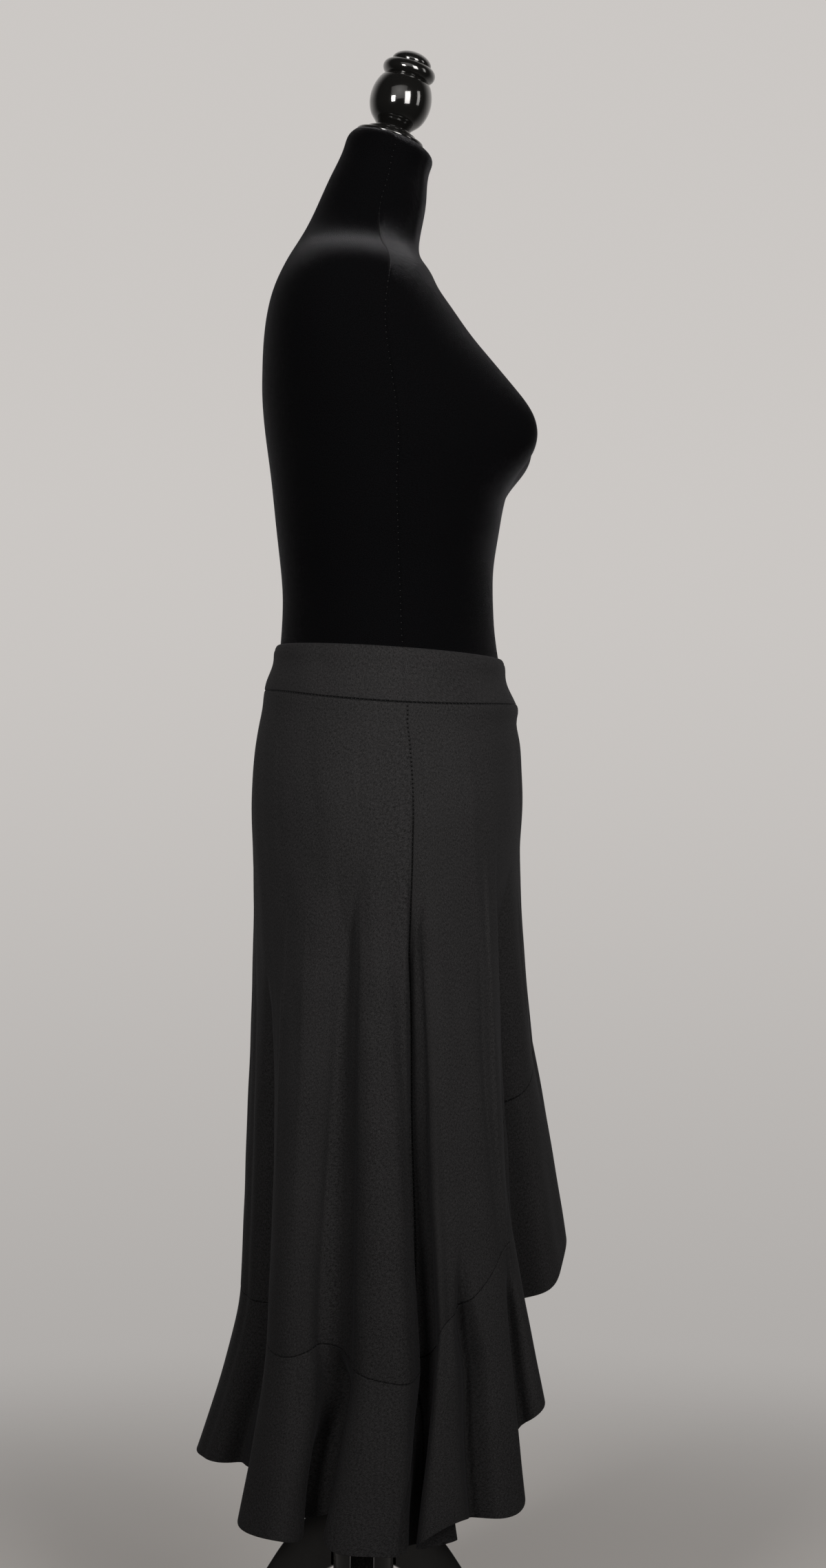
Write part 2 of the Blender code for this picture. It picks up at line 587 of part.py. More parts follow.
def build_neck_wood():
    """The cap on the neck and the turned finial that screws into it."""
    axis = np.array([0.0, -math.sin(NECK_LEAN), math.cos(NECK_LEAN)])
    seat = np.array([0.0, -NECK_TOP["front"], NECK_TOP["height"]]) + SEAT_GAP * axis
    turned("neck_cap", CAP_PROFILE, "lacquer", at=seat, lean=NECK_LEAN)
    top = seat + (CAP_PROFILE[-1][0] + SEAT_GAP) * axis
    turned("neck_finial", FINIAL_PROFILE, "lacquer", at=top, lean=NECK_LEAN)


def build_pole():
    """The socket under the form, the pole, and the hub that holds it."""
    flange_top = FORM_BASE - SEAT_GAP
    flange_low = flange_top - FLANGE_THICK
    collar_low = flange_low - COLLAR_DROP
    socket_top = flange_low
    turned(
        "form_socket",
        (
            (flange_top, 0.0), (flange_top, FLANGE_RADIUS), (flange_low, FLANGE_RADIUS),
            (flange_low, COLLAR_RADIUS), (collar_low, COLLAR_RADIUS), (collar_low, SOCKET_BORE),
            (socket_top, SOCKET_BORE), (socket_top, 0.0),
        ),
        "steel",
    )
    hub_floor = HUB_TOP - HUB_SOCKET_DEPTH
    turned(
        "pole",
        (
            (hub_floor + SEAT_GAP, 0.0), (hub_floor + SEAT_GAP, POLE_RADIUS),
            (socket_top - SEAT_GAP, POLE_RADIUS), (socket_top - SEAT_GAP, 0.0),
        ),
        "steel",
    )
    chamfer = 0.004
    turned(
        "stand_hub",
        (
            (HUB_BOTTOM, 0.0), (HUB_BOTTOM, HUB_RADIUS - chamfer), (HUB_BOTTOM + chamfer, HUB_RADIUS),
            (HUB_TOP - chamfer, HUB_RADIUS), (HUB_TOP, HUB_RADIUS - chamfer), (HUB_TOP, SOCKET_BORE),
            (hub_floor, SOCKET_BORE), (hub_floor, 0.0),
        ),
        "lacquer",
    )


def build_legs():
    """Three curved boards, each a copy of one outline turned about the pole."""
    half = LEG_THICK / 2
    points, faces = [], []
    for reach, low, high in LEG_STATIONS:
        points += [(-half, -reach, low), (half, -reach, low), (half, -reach, high), (-half, -reach, high)]
    for station in range(len(LEG_STATIONS) - 1):
        near, far = 4 * station, 4 * (station + 1)
        for side in range(4):
            after = (side + 1) % 4
            faces.append([near + side, near + after, far + after, far + side])
    faces += [[0, 1, 2, 3], [4 * len(LEG_STATIONS) - 1 - i for i in range(4)]]
    for name, turn in LEG_TURNS.items():
        leg = add_object(name, points, faces, "lacquer")
        leg.rotation_euler = (0.0, 0.0, -math.radians(turn))
        bevel = leg.modifiers.new("Bevel", "BEVEL")
        bevel.width = LEG_BEVEL
        bevel.segments = 1
        bevel.limit_method = "ANGLE"
        bevel.angle_limit = math.radians(50.0)


def main():
    for old in list(bpy.data.objects):
        bpy.data.objects.remove(old, do_unlink=True)
    build_waistband()
    build_skirt()
    build_form()
    build_neck_wood()
    build_pole()
    build_legs()


main()
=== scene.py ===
"""An asymmetric skirt with a ruffled hem on a dress form: its looks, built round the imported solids.

Laid out as a Blender add-on and run as a script. Metres, +Z up, the skirt's front towards -Y. In the tables
"front" is the distance ahead of the pole, "side" is the distance to the wearer's right of it, and a turn is
an angle in degrees round the body: 0 at the centre front, 90 at the right side, 180 at the centre back.
"""

import math

import bpy
import numpy as np
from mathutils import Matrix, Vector


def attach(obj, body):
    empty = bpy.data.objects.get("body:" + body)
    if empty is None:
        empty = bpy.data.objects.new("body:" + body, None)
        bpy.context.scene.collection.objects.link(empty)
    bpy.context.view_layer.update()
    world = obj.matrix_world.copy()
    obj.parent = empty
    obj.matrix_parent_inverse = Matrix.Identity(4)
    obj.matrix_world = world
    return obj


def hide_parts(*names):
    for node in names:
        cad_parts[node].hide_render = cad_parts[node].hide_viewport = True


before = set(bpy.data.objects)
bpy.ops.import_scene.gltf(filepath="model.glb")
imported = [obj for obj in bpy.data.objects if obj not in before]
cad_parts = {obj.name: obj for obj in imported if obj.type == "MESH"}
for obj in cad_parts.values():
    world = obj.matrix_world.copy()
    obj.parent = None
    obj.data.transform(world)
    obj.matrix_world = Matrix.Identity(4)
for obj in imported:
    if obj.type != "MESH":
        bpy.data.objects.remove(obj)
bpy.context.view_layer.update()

bl_info = {
    "name": "Asymmetric skirt on a dress form",
    "version": (1, 0, 0),
    "blender": (4, 5, 0),
    "location": "3D View > Sidebar > Skirt",
    "description": "Builds a ruffled skirt, the dress form that it hangs on, and a studio round them",
    "category": "Add Mesh",
}

# The two side seams, as turns round the waist
RIGHT_SEAM_TURN = 83.0
LEFT_SEAM_TURN = 277.0

# Lines that run round the waist, each with its height at the back, the side and the front
WAIST_TOP = {"back": 1.1184, "side": 1.1115, "front": 1.1030}
WAIST_SEAM = {"back": 1.0716, "side": 1.0560, "front": 1.0560}
# How late the ruffle flares out on its way down: 1 is even, and more is later
RUFFLE_KICK = {"front": 0.92, "back": 1.35}
# How late the skirt's folds open on the way down, and how much they hold back at first
FOLD_GROWTH = (1.15, 0.25)

# The waistband's outer face: share of its height from the top edge down, front, back and half width
BAND_SECTIONS = (
    (0.00, 0.1470, -0.0915, 0.1400),
    (0.07, 0.1490, -0.0932, 0.1416),
    (0.35, 0.1508, -0.0950, 0.1430),
    (0.60, 0.1535, -0.0985, 0.1457),
    (0.82, 0.1585, -0.1025, 0.1500),
    (1.00, 0.1626, -0.1045, 0.1530),
)

# The skirt's outer face without its folds: depth below the waist seam, front, back and half width
SKIRT_SECTIONS = (
    (0.000, 0.1629, -0.1045, 0.1532),
    (0.007, 0.1640, -0.1056, 0.1545),
    (0.016, 0.1625, -0.1065, 0.1550),
    (0.035, 0.1646, -0.1100, 0.1585),
    (0.062, 0.1668, -0.1143, 0.1640),
    (0.090, 0.1678, -0.1171, 0.1687),
    (0.116, 0.1674, -0.1183, 0.1715),
    (0.146, 0.1656, -0.1180, 0.1730),
    (0.175, 0.1645, -0.1172, 0.1738),
    (0.230, 0.1630, -0.1160, 0.1750),
    (0.400, 0.1600, -0.1130, 0.1790),
    (0.700, 0.1580, -0.1100, 0.1850),
)

# The folds, from the centre front round to the right: each wave's corners and each valley in turn
FOLD_COLUMN_NAMES = (
    "waist_turn", "seam_front", "seam_side", "seam_height", "hem_front", "hem_side", "hem_height", "starts",
)
FOLDS = (
    # The front wave and the valley to its right
    (-12.0, 0.1785, -0.034, 0.706, 0.2095, -0.044, 0.500, 0.150),
    (8.0, 0.1795, 0.004, 0.672, 0.2100, 0.006, 0.463, 0.150),
    (18.0, 0.1700, 0.036, 0.647, 0.1930, 0.040, 0.440, 0.160),
    (30.0, 0.1442, 0.066, 0.612, 0.1512, 0.070, 0.405, 0.185),
    # The narrow wave on the edge of the right front fold, and the tuck behind it
    (40.0, 0.1496, 0.094, 0.545, 0.1857, 0.098, 0.345, 0.150),
    (44.0, 0.1504, 0.108, 0.518, 0.1800, 0.116, 0.330, 0.150),
    (47.0, 0.1475, 0.117, 0.504, 0.1521, 0.122, 0.300, 0.150),
    # The broad wave on the right front fold, and the valley at the right side seam
    (50.0, 0.1422, 0.128, 0.495, 0.1646, 0.148, 0.258, 0.150),
    (56.0, 0.1262, 0.145, 0.469, 0.1322, 0.183, 0.241, 0.150),
    (64.0, 0.0981, 0.160, 0.4415, 0.0976, 0.203, 0.243, 0.140),
    (71.0, 0.0790, 0.169, 0.423, 0.0608, 0.216, 0.226, 0.140),
    (75.0, 0.0763, 0.158, 0.413, 0.0565, 0.200, 0.216, 0.150),
    (79.0, 0.0715, 0.143, 0.400, 0.0960, 0.153, 0.213, 0.175),
    (83.0, 0.0635, 0.143, 0.386, 0.0626, 0.148, 0.208, 0.175),
    # The right side wave, the longest, and its valley
    (87.0, 0.0549, 0.168, 0.377, 0.0473, 0.190, 0.213, 0.150),
    (90.0, 0.0433, 0.189, 0.3755, 0.0421, 0.234, 0.2175, 0.140),
    (93.5, 0.0234, 0.194, 0.379, 0.0073, 0.247, 0.221, 0.130),
    (97.0, 0.0023, 0.187, 0.3835, -0.0289, 0.234, 0.224, 0.140),
    (100.0, -0.0070, 0.172, 0.387, -0.0344, 0.208, 0.234, 0.150),
    (103.0, -0.0123, 0.153, 0.394, -0.0122, 0.158, 0.240, 0.175),
    (107.0, -0.0244, 0.146, 0.402, -0.0304, 0.146, 0.236, 0.180),
    # The right back wave and its valley
    (111.0, -0.0403, 0.152, 0.405, -0.0530, 0.170, 0.220, 0.170),
    (119.0, -0.0652, 0.155, 0.397, -0.0776, 0.196, 0.222, 0.160),
    (130.0, -0.0927, 0.130, 0.398, -0.1151, 0.168, 0.224, 0.180),
    (138.0, -0.0971, 0.108, 0.408, -0.1246, 0.138, 0.230, 0.220),
    (147.0, -0.0926, 0.078, 0.424, -0.1007, 0.076, 0.256, 0.230),
    # The back wave and the valley to its left
    (160.0, -0.1150, 0.045, 0.432, -0.1500, 0.046, 0.264, 0.230),
    (180.0, -0.1305, -0.005, 0.441, -0.1775, -0.008, 0.2675, 0.230),
    (197.0, -0.1180, -0.055, 0.443, -0.1500, -0.060, 0.268, 0.230),
    (206.0, -0.1000, -0.078, 0.446, -0.1030, -0.074, 0.279, 0.230),
    (211.0, -0.0960, -0.090, 0.450, -0.1020, -0.092, 0.280, 0.230),
    # The left back and left side waves, where the hem climbs, and the valley at the left side seam
    (219.0, -0.0980, -0.114, 0.457, -0.1330, -0.130, 0.270, 0.200),
    (229.0, -0.0860, -0.145, 0.472, -0.1140, -0.178, 0.272, 0.180),
    (240.0, -0.0560, -0.150, 0.500, -0.0600, -0.152, 0.312, 0.190),
    (246.0, -0.0430, -0.155, 0.520, -0.0450, -0.160, 0.325, 0.180),
    (253.0, -0.0330, -0.176, 0.540, -0.0430, -0.212, 0.320, 0.150),
    (264.0, 0.0050, -0.196, 0.585, 0.0060, -0.240, 0.355, 0.140),
    (273.0, 0.0320, -0.164, 0.624, 0.0240, -0.160, 0.425, 0.180),
    (277.0, 0.0440, -0.163, 0.644, 0.0400, -0.160, 0.435, 0.180),
    # The left front waves, where the hem is shortest
    (284.0, 0.0600, -0.178, 0.672, 0.0500, -0.216, 0.445, 0.140),
    (299.0, 0.0960, -0.166, 0.722, 0.1120, -0.200, 0.510, 0.130),
    (310.0, 0.1110, -0.133, 0.750, 0.1110, -0.132, 0.575, 0.180),
    (316.0, 0.1220, -0.117, 0.762, 0.1240, -0.116, 0.590, 0.180),
    (326.0, 0.1480, -0.105, 0.778, 0.1720, -0.124, 0.605, 0.140),
    (334.0, 0.1560, -0.084, 0.774, 0.1860, -0.090, 0.592, 0.140),
    (340.0, 0.1530, -0.064, 0.752, 0.1570, -0.068, 0.565, 0.170),
    (343.0, 0.1560, -0.052, 0.738, 0.1590, -0.055, 0.545, 0.170),
)
RIGHT_SEAM_FOLD = 13
LEFT_SEAM_FOLD = 38

# How far the right side seam leans towards the front, at shares of the way from the waist to the ruffle
RIGHT_SEAM_DRIFT = (
    (0.0, -0.003), (0.1, -0.014), (0.2, -0.024), (0.3, -0.026),
    (0.5, -0.019), (0.65, -0.010), (0.85, -0.006), (1.0, 0.0),
)
# How far along the cloth from the seam that lean reaches
SEAM_DRIFT_REACH = 0.055

# The grid of the skirt and the ruffle: the depth of its upper part, the space between its columns, and the
# distances of its finer columns and rows from a seam
UPPER_DEPTH = 0.125
CLOTH_STEP = 0.0023
CLOTH_EDGE_COLUMNS = (0.0, 0.0007, 0.0016, 0.0028, 0.0045)
WAIST_ROWS = (0.0, 0.0003, 0.0008, 0.0015, 0.0024, 0.0036, 0.0055)
RUFFLE_SEAM_ROWS = (0.0, 0.0002, 0.0006, 0.0012, 0.0020, 0.0030, 0.0045)

# The waistband's grid: columns in degrees, and rows as shares of its height
BAND_STEP = 0.8
BAND_EDGE_COLUMNS = (0.0, 0.25, 0.6, 1.1, 1.8)
BAND_TOP_ROWS = (0.012, 0.03, 0.05, 0.075, 0.10)
BAND_BOTTOM_ROWS = (0.945, 0.965, 0.98, 0.99, 0.996, 1.0)
BAND_RADIUS = 0.145

# The flat maps of the cloths: width at the top, width at the bottom, and length
CLOTH_FANS = {"skirt": (0.452, 0.78, 0.50), "ruffle": (0.78, 1.187, 0.19)}
# How deep a cloth turns under at its top and at its bottom, and at its sides, as shares of the setting
EDGE_ROLLS = {"skirt": (1.0, 0.55), "ruffle": (0.45, 0.0)}
SIDE_ROLL = 0.8
# How far apart the stitches show, from 0 to 1, at the ruffle's side seams and at the seams round the body;
# between them the seam's painted shade is left out
RUFFLE_SEAM_APART = 0.3
LEVEL_SEAM_APART = 0.25
# The line of stitching under the waistband's top fold: depth, share of the height, and half width
BAND_STITCHING = (0.0004, 0.105, 0.022)
# Where the points of a rounded rim lie, in degrees from the outer face
RIM_ANGLES = (35.0, 70.0, 110.0, 145.0)

# Creases in the cloth: the height, which is negative in a trough, and the widths of the sides nearer the
# front and nearer the back. Then its stations from the top down: shares of the way from the waist seam to
# the ruffle's seam, or past 1 from there to the hem, each with its turn. The first ones show on the right.
CREASES = (
    (-0.0150, 0.0150, 0.0210, (
        (0.20, 99.0), (0.32, 104.6), (0.44, 106.9), (0.70, 109.2), (0.94, 109.6), (1.08, 107.4),
        (1.33, 106.1), (1.60, 107.9), (2.00, 108.9),
    )),
    (-0.0200, 0.0120, 0.0035, (
        (0.150, 78.4), (0.26, 77.9), (0.44, 79.3), (0.57, 80.6), (0.69, 81.9), (0.92, 82.5),
        (1.19, 84.5), (1.41, 86.5), (1.61, 88.4), (2.00, 89.6),
    )),
    (-0.0260, 0.0200, 0.0060, (
        (0.17, 34.5), (0.34, 32.5), (0.58, 29.0), (0.80, 26.1), (1.04, 23.8), (1.32, 23.4),
        (1.64, 23.2), (2.00, 22.2),
    )),
    (0.0036, 0.0034, 0.0042, (
        (0.24, 43.0), (0.50, 44.0), (0.62, 44.9), (0.79, 46.9), (0.91, 47.5), (1.04, 45.6),
        (1.23, 44.8),
    )),
    (-0.0016, 0.0045, 0.0070, (
        (0.40, 48.6), (0.51, 49.1), (0.60, 49.7), (0.72, 50.9), (0.89, 50.6), (1.13, 48.4),
    )),
    (-0.0300, 0.0085, 0.0125, (
        (0.88, 62.4), (1.16, 60.8), (1.30, 59.5), (1.49, 59.0), (1.68, 58.6), (2.00, 57.3),
    )),
    (-0.0220, 0.0120, 0.0130, (
        (0.46, 150.5), (0.66, 151.2), (0.82, 152.7), (1.10, 155.2), (1.36, 155.4), (1.62, 156.4),
        (2.00, 156.6),
    )),
    (0.0011, 0.0030, 0.0036, ((0.30, 135.2), (0.39, 135.5), (0.52, 136.4), (0.63, 136.2), (0.80, 134.0))),
    (0.0009, 0.0050, 0.0060, ((0.28, 124.0), (0.90, 122.0))),
    (-0.0022, 0.0090, 0.0100, ((0.35, 116.0), (1.00, 118.0), (1.50, 117.0))),
    (0.0008, 0.0090, 0.0100, ((0.32, 96.0), (0.98, 93.0))),
    (-0.0022, 0.0100, 0.0080, ((0.30, 71.0), (0.95, 66.5), (1.40, 68.0))),
    (-0.0130, 0.0060, 0.0080, ((0.98, 107.4), (1.33, 106.1), (1.60, 107.9), (2.00, 108.9))),
    (-0.0130, 0.0090, 0.0100, ((1.14, 46.8), (1.43, 46.0), (1.69, 45.9), (2.00, 45.5))),
    # The left front, the left side and the back, which don't show
    (-0.0095, 0.0110, 0.0050, ((0.20, 346.0), (0.45, 343.5), (0.90, 341.0), (1.30, 341.5), (2.00, 342.0))),
    (-0.0085, 0.0055, 0.0100, ((0.24, 314.0), (0.50, 312.0), (0.85, 310.5), (1.30, 310.0), (2.00, 309.0))),
    (0.0013, 0.0040, 0.0036, ((0.25, 303.0), (0.60, 304.0), (0.95, 302.0))),
    (-0.0115, 0.0042, 0.0105, (
        (0.20, 281.0), (0.40, 279.0), (0.70, 277.0), (1.00, 276.0), (1.50, 275.0), (2.00, 274.0),
    )),
    (-0.0018, 0.0080, 0.0090, ((0.30, 260.0), (0.70, 262.0), (1.20, 261.0))),
    (-0.0090, 0.0090, 0.0050, ((0.22, 248.0), (0.55, 245.5), (0.90, 244.0), (1.40, 243.0), (2.00, 243.5))),
    (0.0012, 0.0045, 0.0036, ((0.30, 233.0), (0.60, 234.5), (0.95, 233.0))),
    (-0.0100, 0.0050, 0.0100, ((0.22, 212.0), (0.50, 209.5), (0.80, 207.5), (1.20, 207.0), (2.00, 206.0))),
    (-0.0020, 0.0100, 0.0080, ((0.35, 192.0), (0.75, 193.5), (1.30, 191.0))),
    (0.0012, 0.0038, 0.0045, ((0.28, 177.0), (0.60, 175.5), (0.92, 176.5))),
    (-0.0022, 0.0080, 0.0095, ((0.40, 167.0), (0.80, 166.0), (1.50, 168.0), (2.00, 168.5))),
    (-0.0020, 0.0090, 0.0100, ((0.30, 3.0), (0.70, 1.0), (1.30, 2.5))),
    (0.0012, 0.0050, 0.0040, ((0.35, 12.0), (0.95, 10.0))),
)

# Shares of the way down over which a crease grows to its full height and to its full width, the share of its
# width that it starts with, and how flat its bottom is
CREASE_FADE = 0.22
CREASE_WIDENING = 0.45
CREASE_START_WIDTH = 0.35
CREASE_POWER = 1.6
# The deepest that a trough may be at the level of the form's base, and how fast that grows below it, at first
# and further down
TROUGH_LIMIT = (0.0004, 0.09, 1.2)

# Long, shallow unevenness all over the cloth: waves across and down each metre, a shift, and a height
UNEVENNESS = (
    (5.0, 1.6, 0.3, 0.00045),
    (9.0, 2.7, 2.1, 0.00032),
    (16.0, 3.1, 4.4, 0.00022),
    (27.0, 6.0, 1.2, 0.00012),
    (11.0, 14.0, 5.1, 0.00012),
)
# The distances over which it comes in below the waist, and beside a side seam
UNEVEN_FADE = {"waist": 0.06, "seam": 0.012}

# The dress form above the waistband
FORM_COLUMN_NAMES = ("z_back", "z_side", "z_front", "back", "front", "half_width", "round", "bust")
FORM_SECTIONS = (
    (1.1184, 1.1115, 1.1030, -0.0878, 0.1430, 0.1362, 2.0, 0.0),
    (1.1400, 1.1400, 1.1350, -0.0862, 0.1388, 0.1335, 2.05, 0.0),
    (1.1680, 1.1680, 1.1680, -0.0854, 0.1372, 0.1325, 2.1, 0.0),
    (1.2000, 1.2000, 1.2000, -0.0875, 0.1378, 0.1350, 2.15, 0.0),
    (1.2360, 1.2360, 1.2360, -0.0914, 0.1430, 0.1415, 2.2, 0.002),
    (1.2660, 1.2660, 1.2660, -0.0945, 0.1480, 0.1475, 2.2, 0.005),
    (1.2900, 1.2900, 1.2900, -0.0970, 0.1535, 0.1525, 2.2, 0.016),
    (1.3120, 1.3120, 1.3120, -0.0997, 0.1600, 0.1565, 2.2, 0.028),
    (1.3350, 1.3350, 1.3350, -0.1028, 0.1620, 0.1600, 2.2, 0.033),
    (1.3580, 1.3580, 1.3580, -0.1053, 0.1580, 0.1630, 2.25, 0.030),
    (1.3820, 1.3820, 1.3820, -0.1067, 0.1490, 0.1660, 2.3, 0.020),
    (1.4080, 1.4080, 1.4080, -0.1064, 0.1350, 0.1690, 2.4, 0.010),
    (1.4380, 1.4380, 1.4380, -0.1046, 0.1145, 0.1712, 2.55, 0.003),
    (1.4680, 1.4680, 1.4680, -0.1000, 0.0945, 0.1712, 2.65, 0.0),
    (1.4920, 1.4920, 1.4900, -0.0930, 0.0800, 0.1660, 2.6, 0.0),
    (1.5100, 1.5080, 1.5060, -0.0860, 0.0730, 0.1530, 2.4, 0.0),
    (1.5260, 1.5220, 1.5190, -0.0790, 0.0655, 0.1290, 2.2, 0.0),
    (1.5420, 1.5360, 1.5310, -0.0705, 0.0600, 0.0960, 2.1, 0.0),
    (1.5610, 1.5530, 1.5450, -0.0600, 0.0592, 0.0730, 2.0, 0.0),
    (1.5840, 1.5740, 1.5640, -0.0490, 0.0625, 0.0610, 2.0, 0.0),
    (1.6150, 1.6020, 1.5900, -0.0350, 0.0667, 0.0550, 2.0, 0.0),
    (1.6470, 1.6340, 1.6220, -0.0204, 0.0707, 0.0510, 2.0, 0.0),
    (1.6625, 1.6510, 1.6395, -0.0125, 0.0690, 0.0485, 2.0, 0.0),
    (1.6650, 1.6545, 1.6440, -0.0090, 0.0640, 0.0440, 2.0, 0.0),
)
# The form under the cloth: depths below the waist seam where its rings start and end, the height of its
# base, the rise and the inset of each ring of its lower edge, and how far it stays inside the cloth
FORM_SKIRT_DEPTHS = (0.020, 0.125)
FORM_BASE = 0.893
FORM_BASE_EDGE = ((0.0080, 0.0010), (0.0022, 0.0035), (0.0, 0.0080))
FORM_CLEARANCE = {"band": 0.0033, "skirt": 0.0021}
# Where the bust's swell is highest, and its spread, in degrees
BUST_TURN = 30.0
BUST_SPREAD = 19.0

# The cover's side seam: heights, each with its turn. The left one is its mirror image.
COVER_SEAM = (
    (1.1145, 82.7), (1.2018, 84.4), (1.2817, 86.9), (1.3985, 86.2), (1.4732, 76.8),
    (1.5136, 66.5), (1.5500, 71.0), (1.5780, 79.0), (1.6100, 79.4), (1.6350, 81.4),
)
# The groove of that seam: its half width, and the share, the distance and the width of its raised edges
COVER_GROOVE = (0.0016, 0.3, 0.004, 0.0025)
# Degrees from a seam of the finer columns of the cover's grid
COVER_EDGE_COLUMNS = (0.0, 0.25, 0.5, 0.8, 1.2, 1.8, 2.8)

# The turned wood on the neck, in runs that meet at a crisp edge: distance along the axis and radius
NECK_LEAN = math.atan2(1.6650 - 1.6440, 0.0640 + 0.0090)
NECK_TOP = {"front": 0.0275, "height": 1.6545}
SEAT_GAP = 0.0003
CAP_HEIGHT = 0.0104
CAP_RUNS = (
    ((0.0, 0.0), (0.0, 0.0350)),
    ((0.0, 0.0350), (0.0012, 0.0362), (0.0034, 0.0362), (0.0048, 0.0345)),
    ((0.0048, 0.0345), (0.0056, 0.0282)),
    ((0.0056, 0.0282), (0.0068, 0.0272), (0.0086, 0.0265), (0.0100, 0.0235)),
    ((0.0100, 0.0235), (0.0104, 0.0)),
)
FINIAL_RUNS = (
    ((0.0, 0.0), (0.0, 0.0188)),
    ((0.0, 0.0188), (0.0022, 0.0180)),
    (
        (0.0022, 0.0180), (0.0052, 0.0206), (0.0110, 0.0262), (0.0190, 0.0305), (0.0290, 0.0327),
        (0.0390, 0.0324), (0.0480, 0.0299), (0.0545, 0.0264), (0.0572, 0.0240),
    ),
    (
        (0.0572, 0.0240), (0.0592, 0.0262), (0.0625, 0.0281), (0.0660, 0.0284), (0.0695, 0.0270),
        (0.0722, 0.0238), (0.0732, 0.0208),
    ),
    (
        (0.0732, 0.0208), (0.0748, 0.0212), (0.0775, 0.0204), (0.0810, 0.0172),
        (0.0840, 0.0118), (0.0857, 0.0052), (0.0860, 0.0),
    ),
)
# How far apart the points of a turned curve are
LATHE_STEP = 0.0012

# The stand
POLE_RADIUS = 0.0125
SOCKET_BORE = 0.0128
FLANGE_RADIUS = 0.045
FLANGE_THICK = 0.006
FLANGE_FILLET = 0.003
STEEL_EASE = 0.0008
COLLAR_RADIUS = 0.020
COLLAR_DROP = 0.034
HUB_RADIUS = 0.032
HUB_BOTTOM = 0.136
HUB_TOP = 0.236
HUB_SOCKET_DEPTH = 0.070
HUB_EASE = 0.004
LEG_THICK = 0.025
LEG_EASE = 0.003
LEG_TURNS = {"leg_right": 90.0, "leg_back_left": 210.0, "leg_front_left": 330.0}
# A leg's outline: distance from the pole, and the heights of its lower and upper edges there
LEG_STATIONS = (
    (0.0325, 0.142, 0.212),
    (0.0500, 0.131, 0.203),
    (0.0700, 0.116, 0.185),
    (0.0945, 0.084, 0.158),
    (0.1190, 0.049, 0.123),
    (0.1450, 0.020, 0.087),
    (0.1700, 0.004, 0.059),
    (0.1900, 0.0, 0.042),
    (0.2150, 0.0, 0.029),
    (0.2380, 0.0, 0.022),
    (0.2530, 0.0, 0.018),
)

# A bar of thread: its sides, its stations as shares of its length with the size of each, and how it bows
THREAD_SIDES = 6
THREAD_STATIONS = ((-0.5, 0.25), (-0.34, 0.95), (0.0, 1.15), (0.34, 0.95), (0.5, 0.25))
THREAD_BOW = 1.6

# The share of each mask in the crepe's mottle, the painted shade in the gap at a seam, and the colour of dust
CREPE_MARKS = {"Fleck": 0.54, "Tone": 0.18, "Cluster": 0.28}
SEAM_SHADE = (0.0006, 0.0006, 0.0006)
DUST_COLOUR = (0.045, 0.043, 0.040)

# The floor: how far it lies below the feet, its radius, and where it fades out
FLOOR_DROP = 0.0003
FLOOR_RADIUS = 7.0
FLOOR_FADE = (0.5, 2.0)

# The soft lights: place, width and height, and power in watts
SOFTBOXES = {
    "window_right": ((-2.26, -1.15, 1.75), (0.85, 1.6), 13.5),
    "window_left": ((-2.38, 1.10, 1.75), (0.6, 0.75), 9.6),
    "window_far_right": ((-0.90, -2.44, 1.80), (0.5, 1.6), 1.9),
    "ceiling_bounce": ((-2.75, 0.24, 2.65), (3.0, 2.2), 5.25),
}
SOFTBOX_COLOUR = (1.0, 0.97, 0.94)
SOFTBOX_SPREAD = 84.0
SOFTBOX_TARGET = (0.0, 0.0, 1.50)

# Where the camera stood, and the height that its picture takes in at the pole
CAMERA_AT = (-3.0, -0.0526, 0.9724)
PICTURE_HEIGHT = 2277 * 0.00073


# Shapes


def open_slopes(knots, values):
    """The slopes at its knots of the smoothest cubic through an open run of values."""
    spans = np.diff(knots)
    rises = np.diff(values, axis=0) / spans[:, None]
    count = len(knots)
    matrix = np.zeros((count, count))
    target = np.zeros_like(values)
    matrix[0, :2] = matrix[-1, -1:-3:-1] = (2.0, 1.0)
    target[0], target[-1] = 3.0 * rises[0], 3.0 * rises[-1]
    for knot in range(1, count - 1):
        before, after = spans[knot - 1], spans[knot]
        matrix[knot, knot - 1 : knot + 2] = (after, 2.0 * (before + after), before)
        target[knot] = 3.0 * (after * rises[knot - 1] + before * rises[knot])
    return np.linalg.solve(matrix, target)


def closed_slopes(knots, values, length):
    """The slopes at its knots of the smoothest cubic through values that come round again after a length."""
    spans = np.diff(np.append(knots, knots[0] + length))
    rises = (np.roll(values, -1, axis=0) - values) / spans[:, None]
    count = len(knots)
    matrix = np.zeros((count, count))
    target = np.zeros_like(values)
    for knot in range(count):
        before, after = spans[knot - 1], spans[knot]
        matrix[knot, knot - 1] += after
        matrix[knot, knot] += 2.0 * (before + after)
        matrix[knot, (knot + 1) % count] += before
        target[knot] = 3.0 * (after * rises[knot - 1] + before * rises[knot])
    return np.linalg.solve(matrix, target)


def steady_slopes(knots, values, length, climb):
    """Slopes that keep a closed run of rising values rising. Once round, they climb by the given sum."""
    spans = np.diff(np.append(knots, knots[0] + length))
    rises = np.diff(np.append(values, values[0] + climb)) / spans
    return 2.0 * rises * np.roll(rises, 1) / (rises + np.roll(rises, 1))


def hermite(knots, values, slopes, places):
    """The cubic through values with the given slopes, at places between the first knot and the last."""
    index = np.clip(np.searchsorted(knots, places, side="right") - 1, 0, len(knots) - 2)
    span = (knots[index + 1] - knots[index])[..., None]
    share = np.clip((places - knots[index])[..., None] / span, 0.0, 1.0)
    return (
        (2 * share**3 - 3 * share**2 + 1) * values[index]
        + (share**3 - 2 * share**2 + share) * span * slopes[index]
        + (3 * share**2 - 2 * share**3) * values[index + 1]
        + (share**3 - share**2) * span * slopes[index + 1]
    )


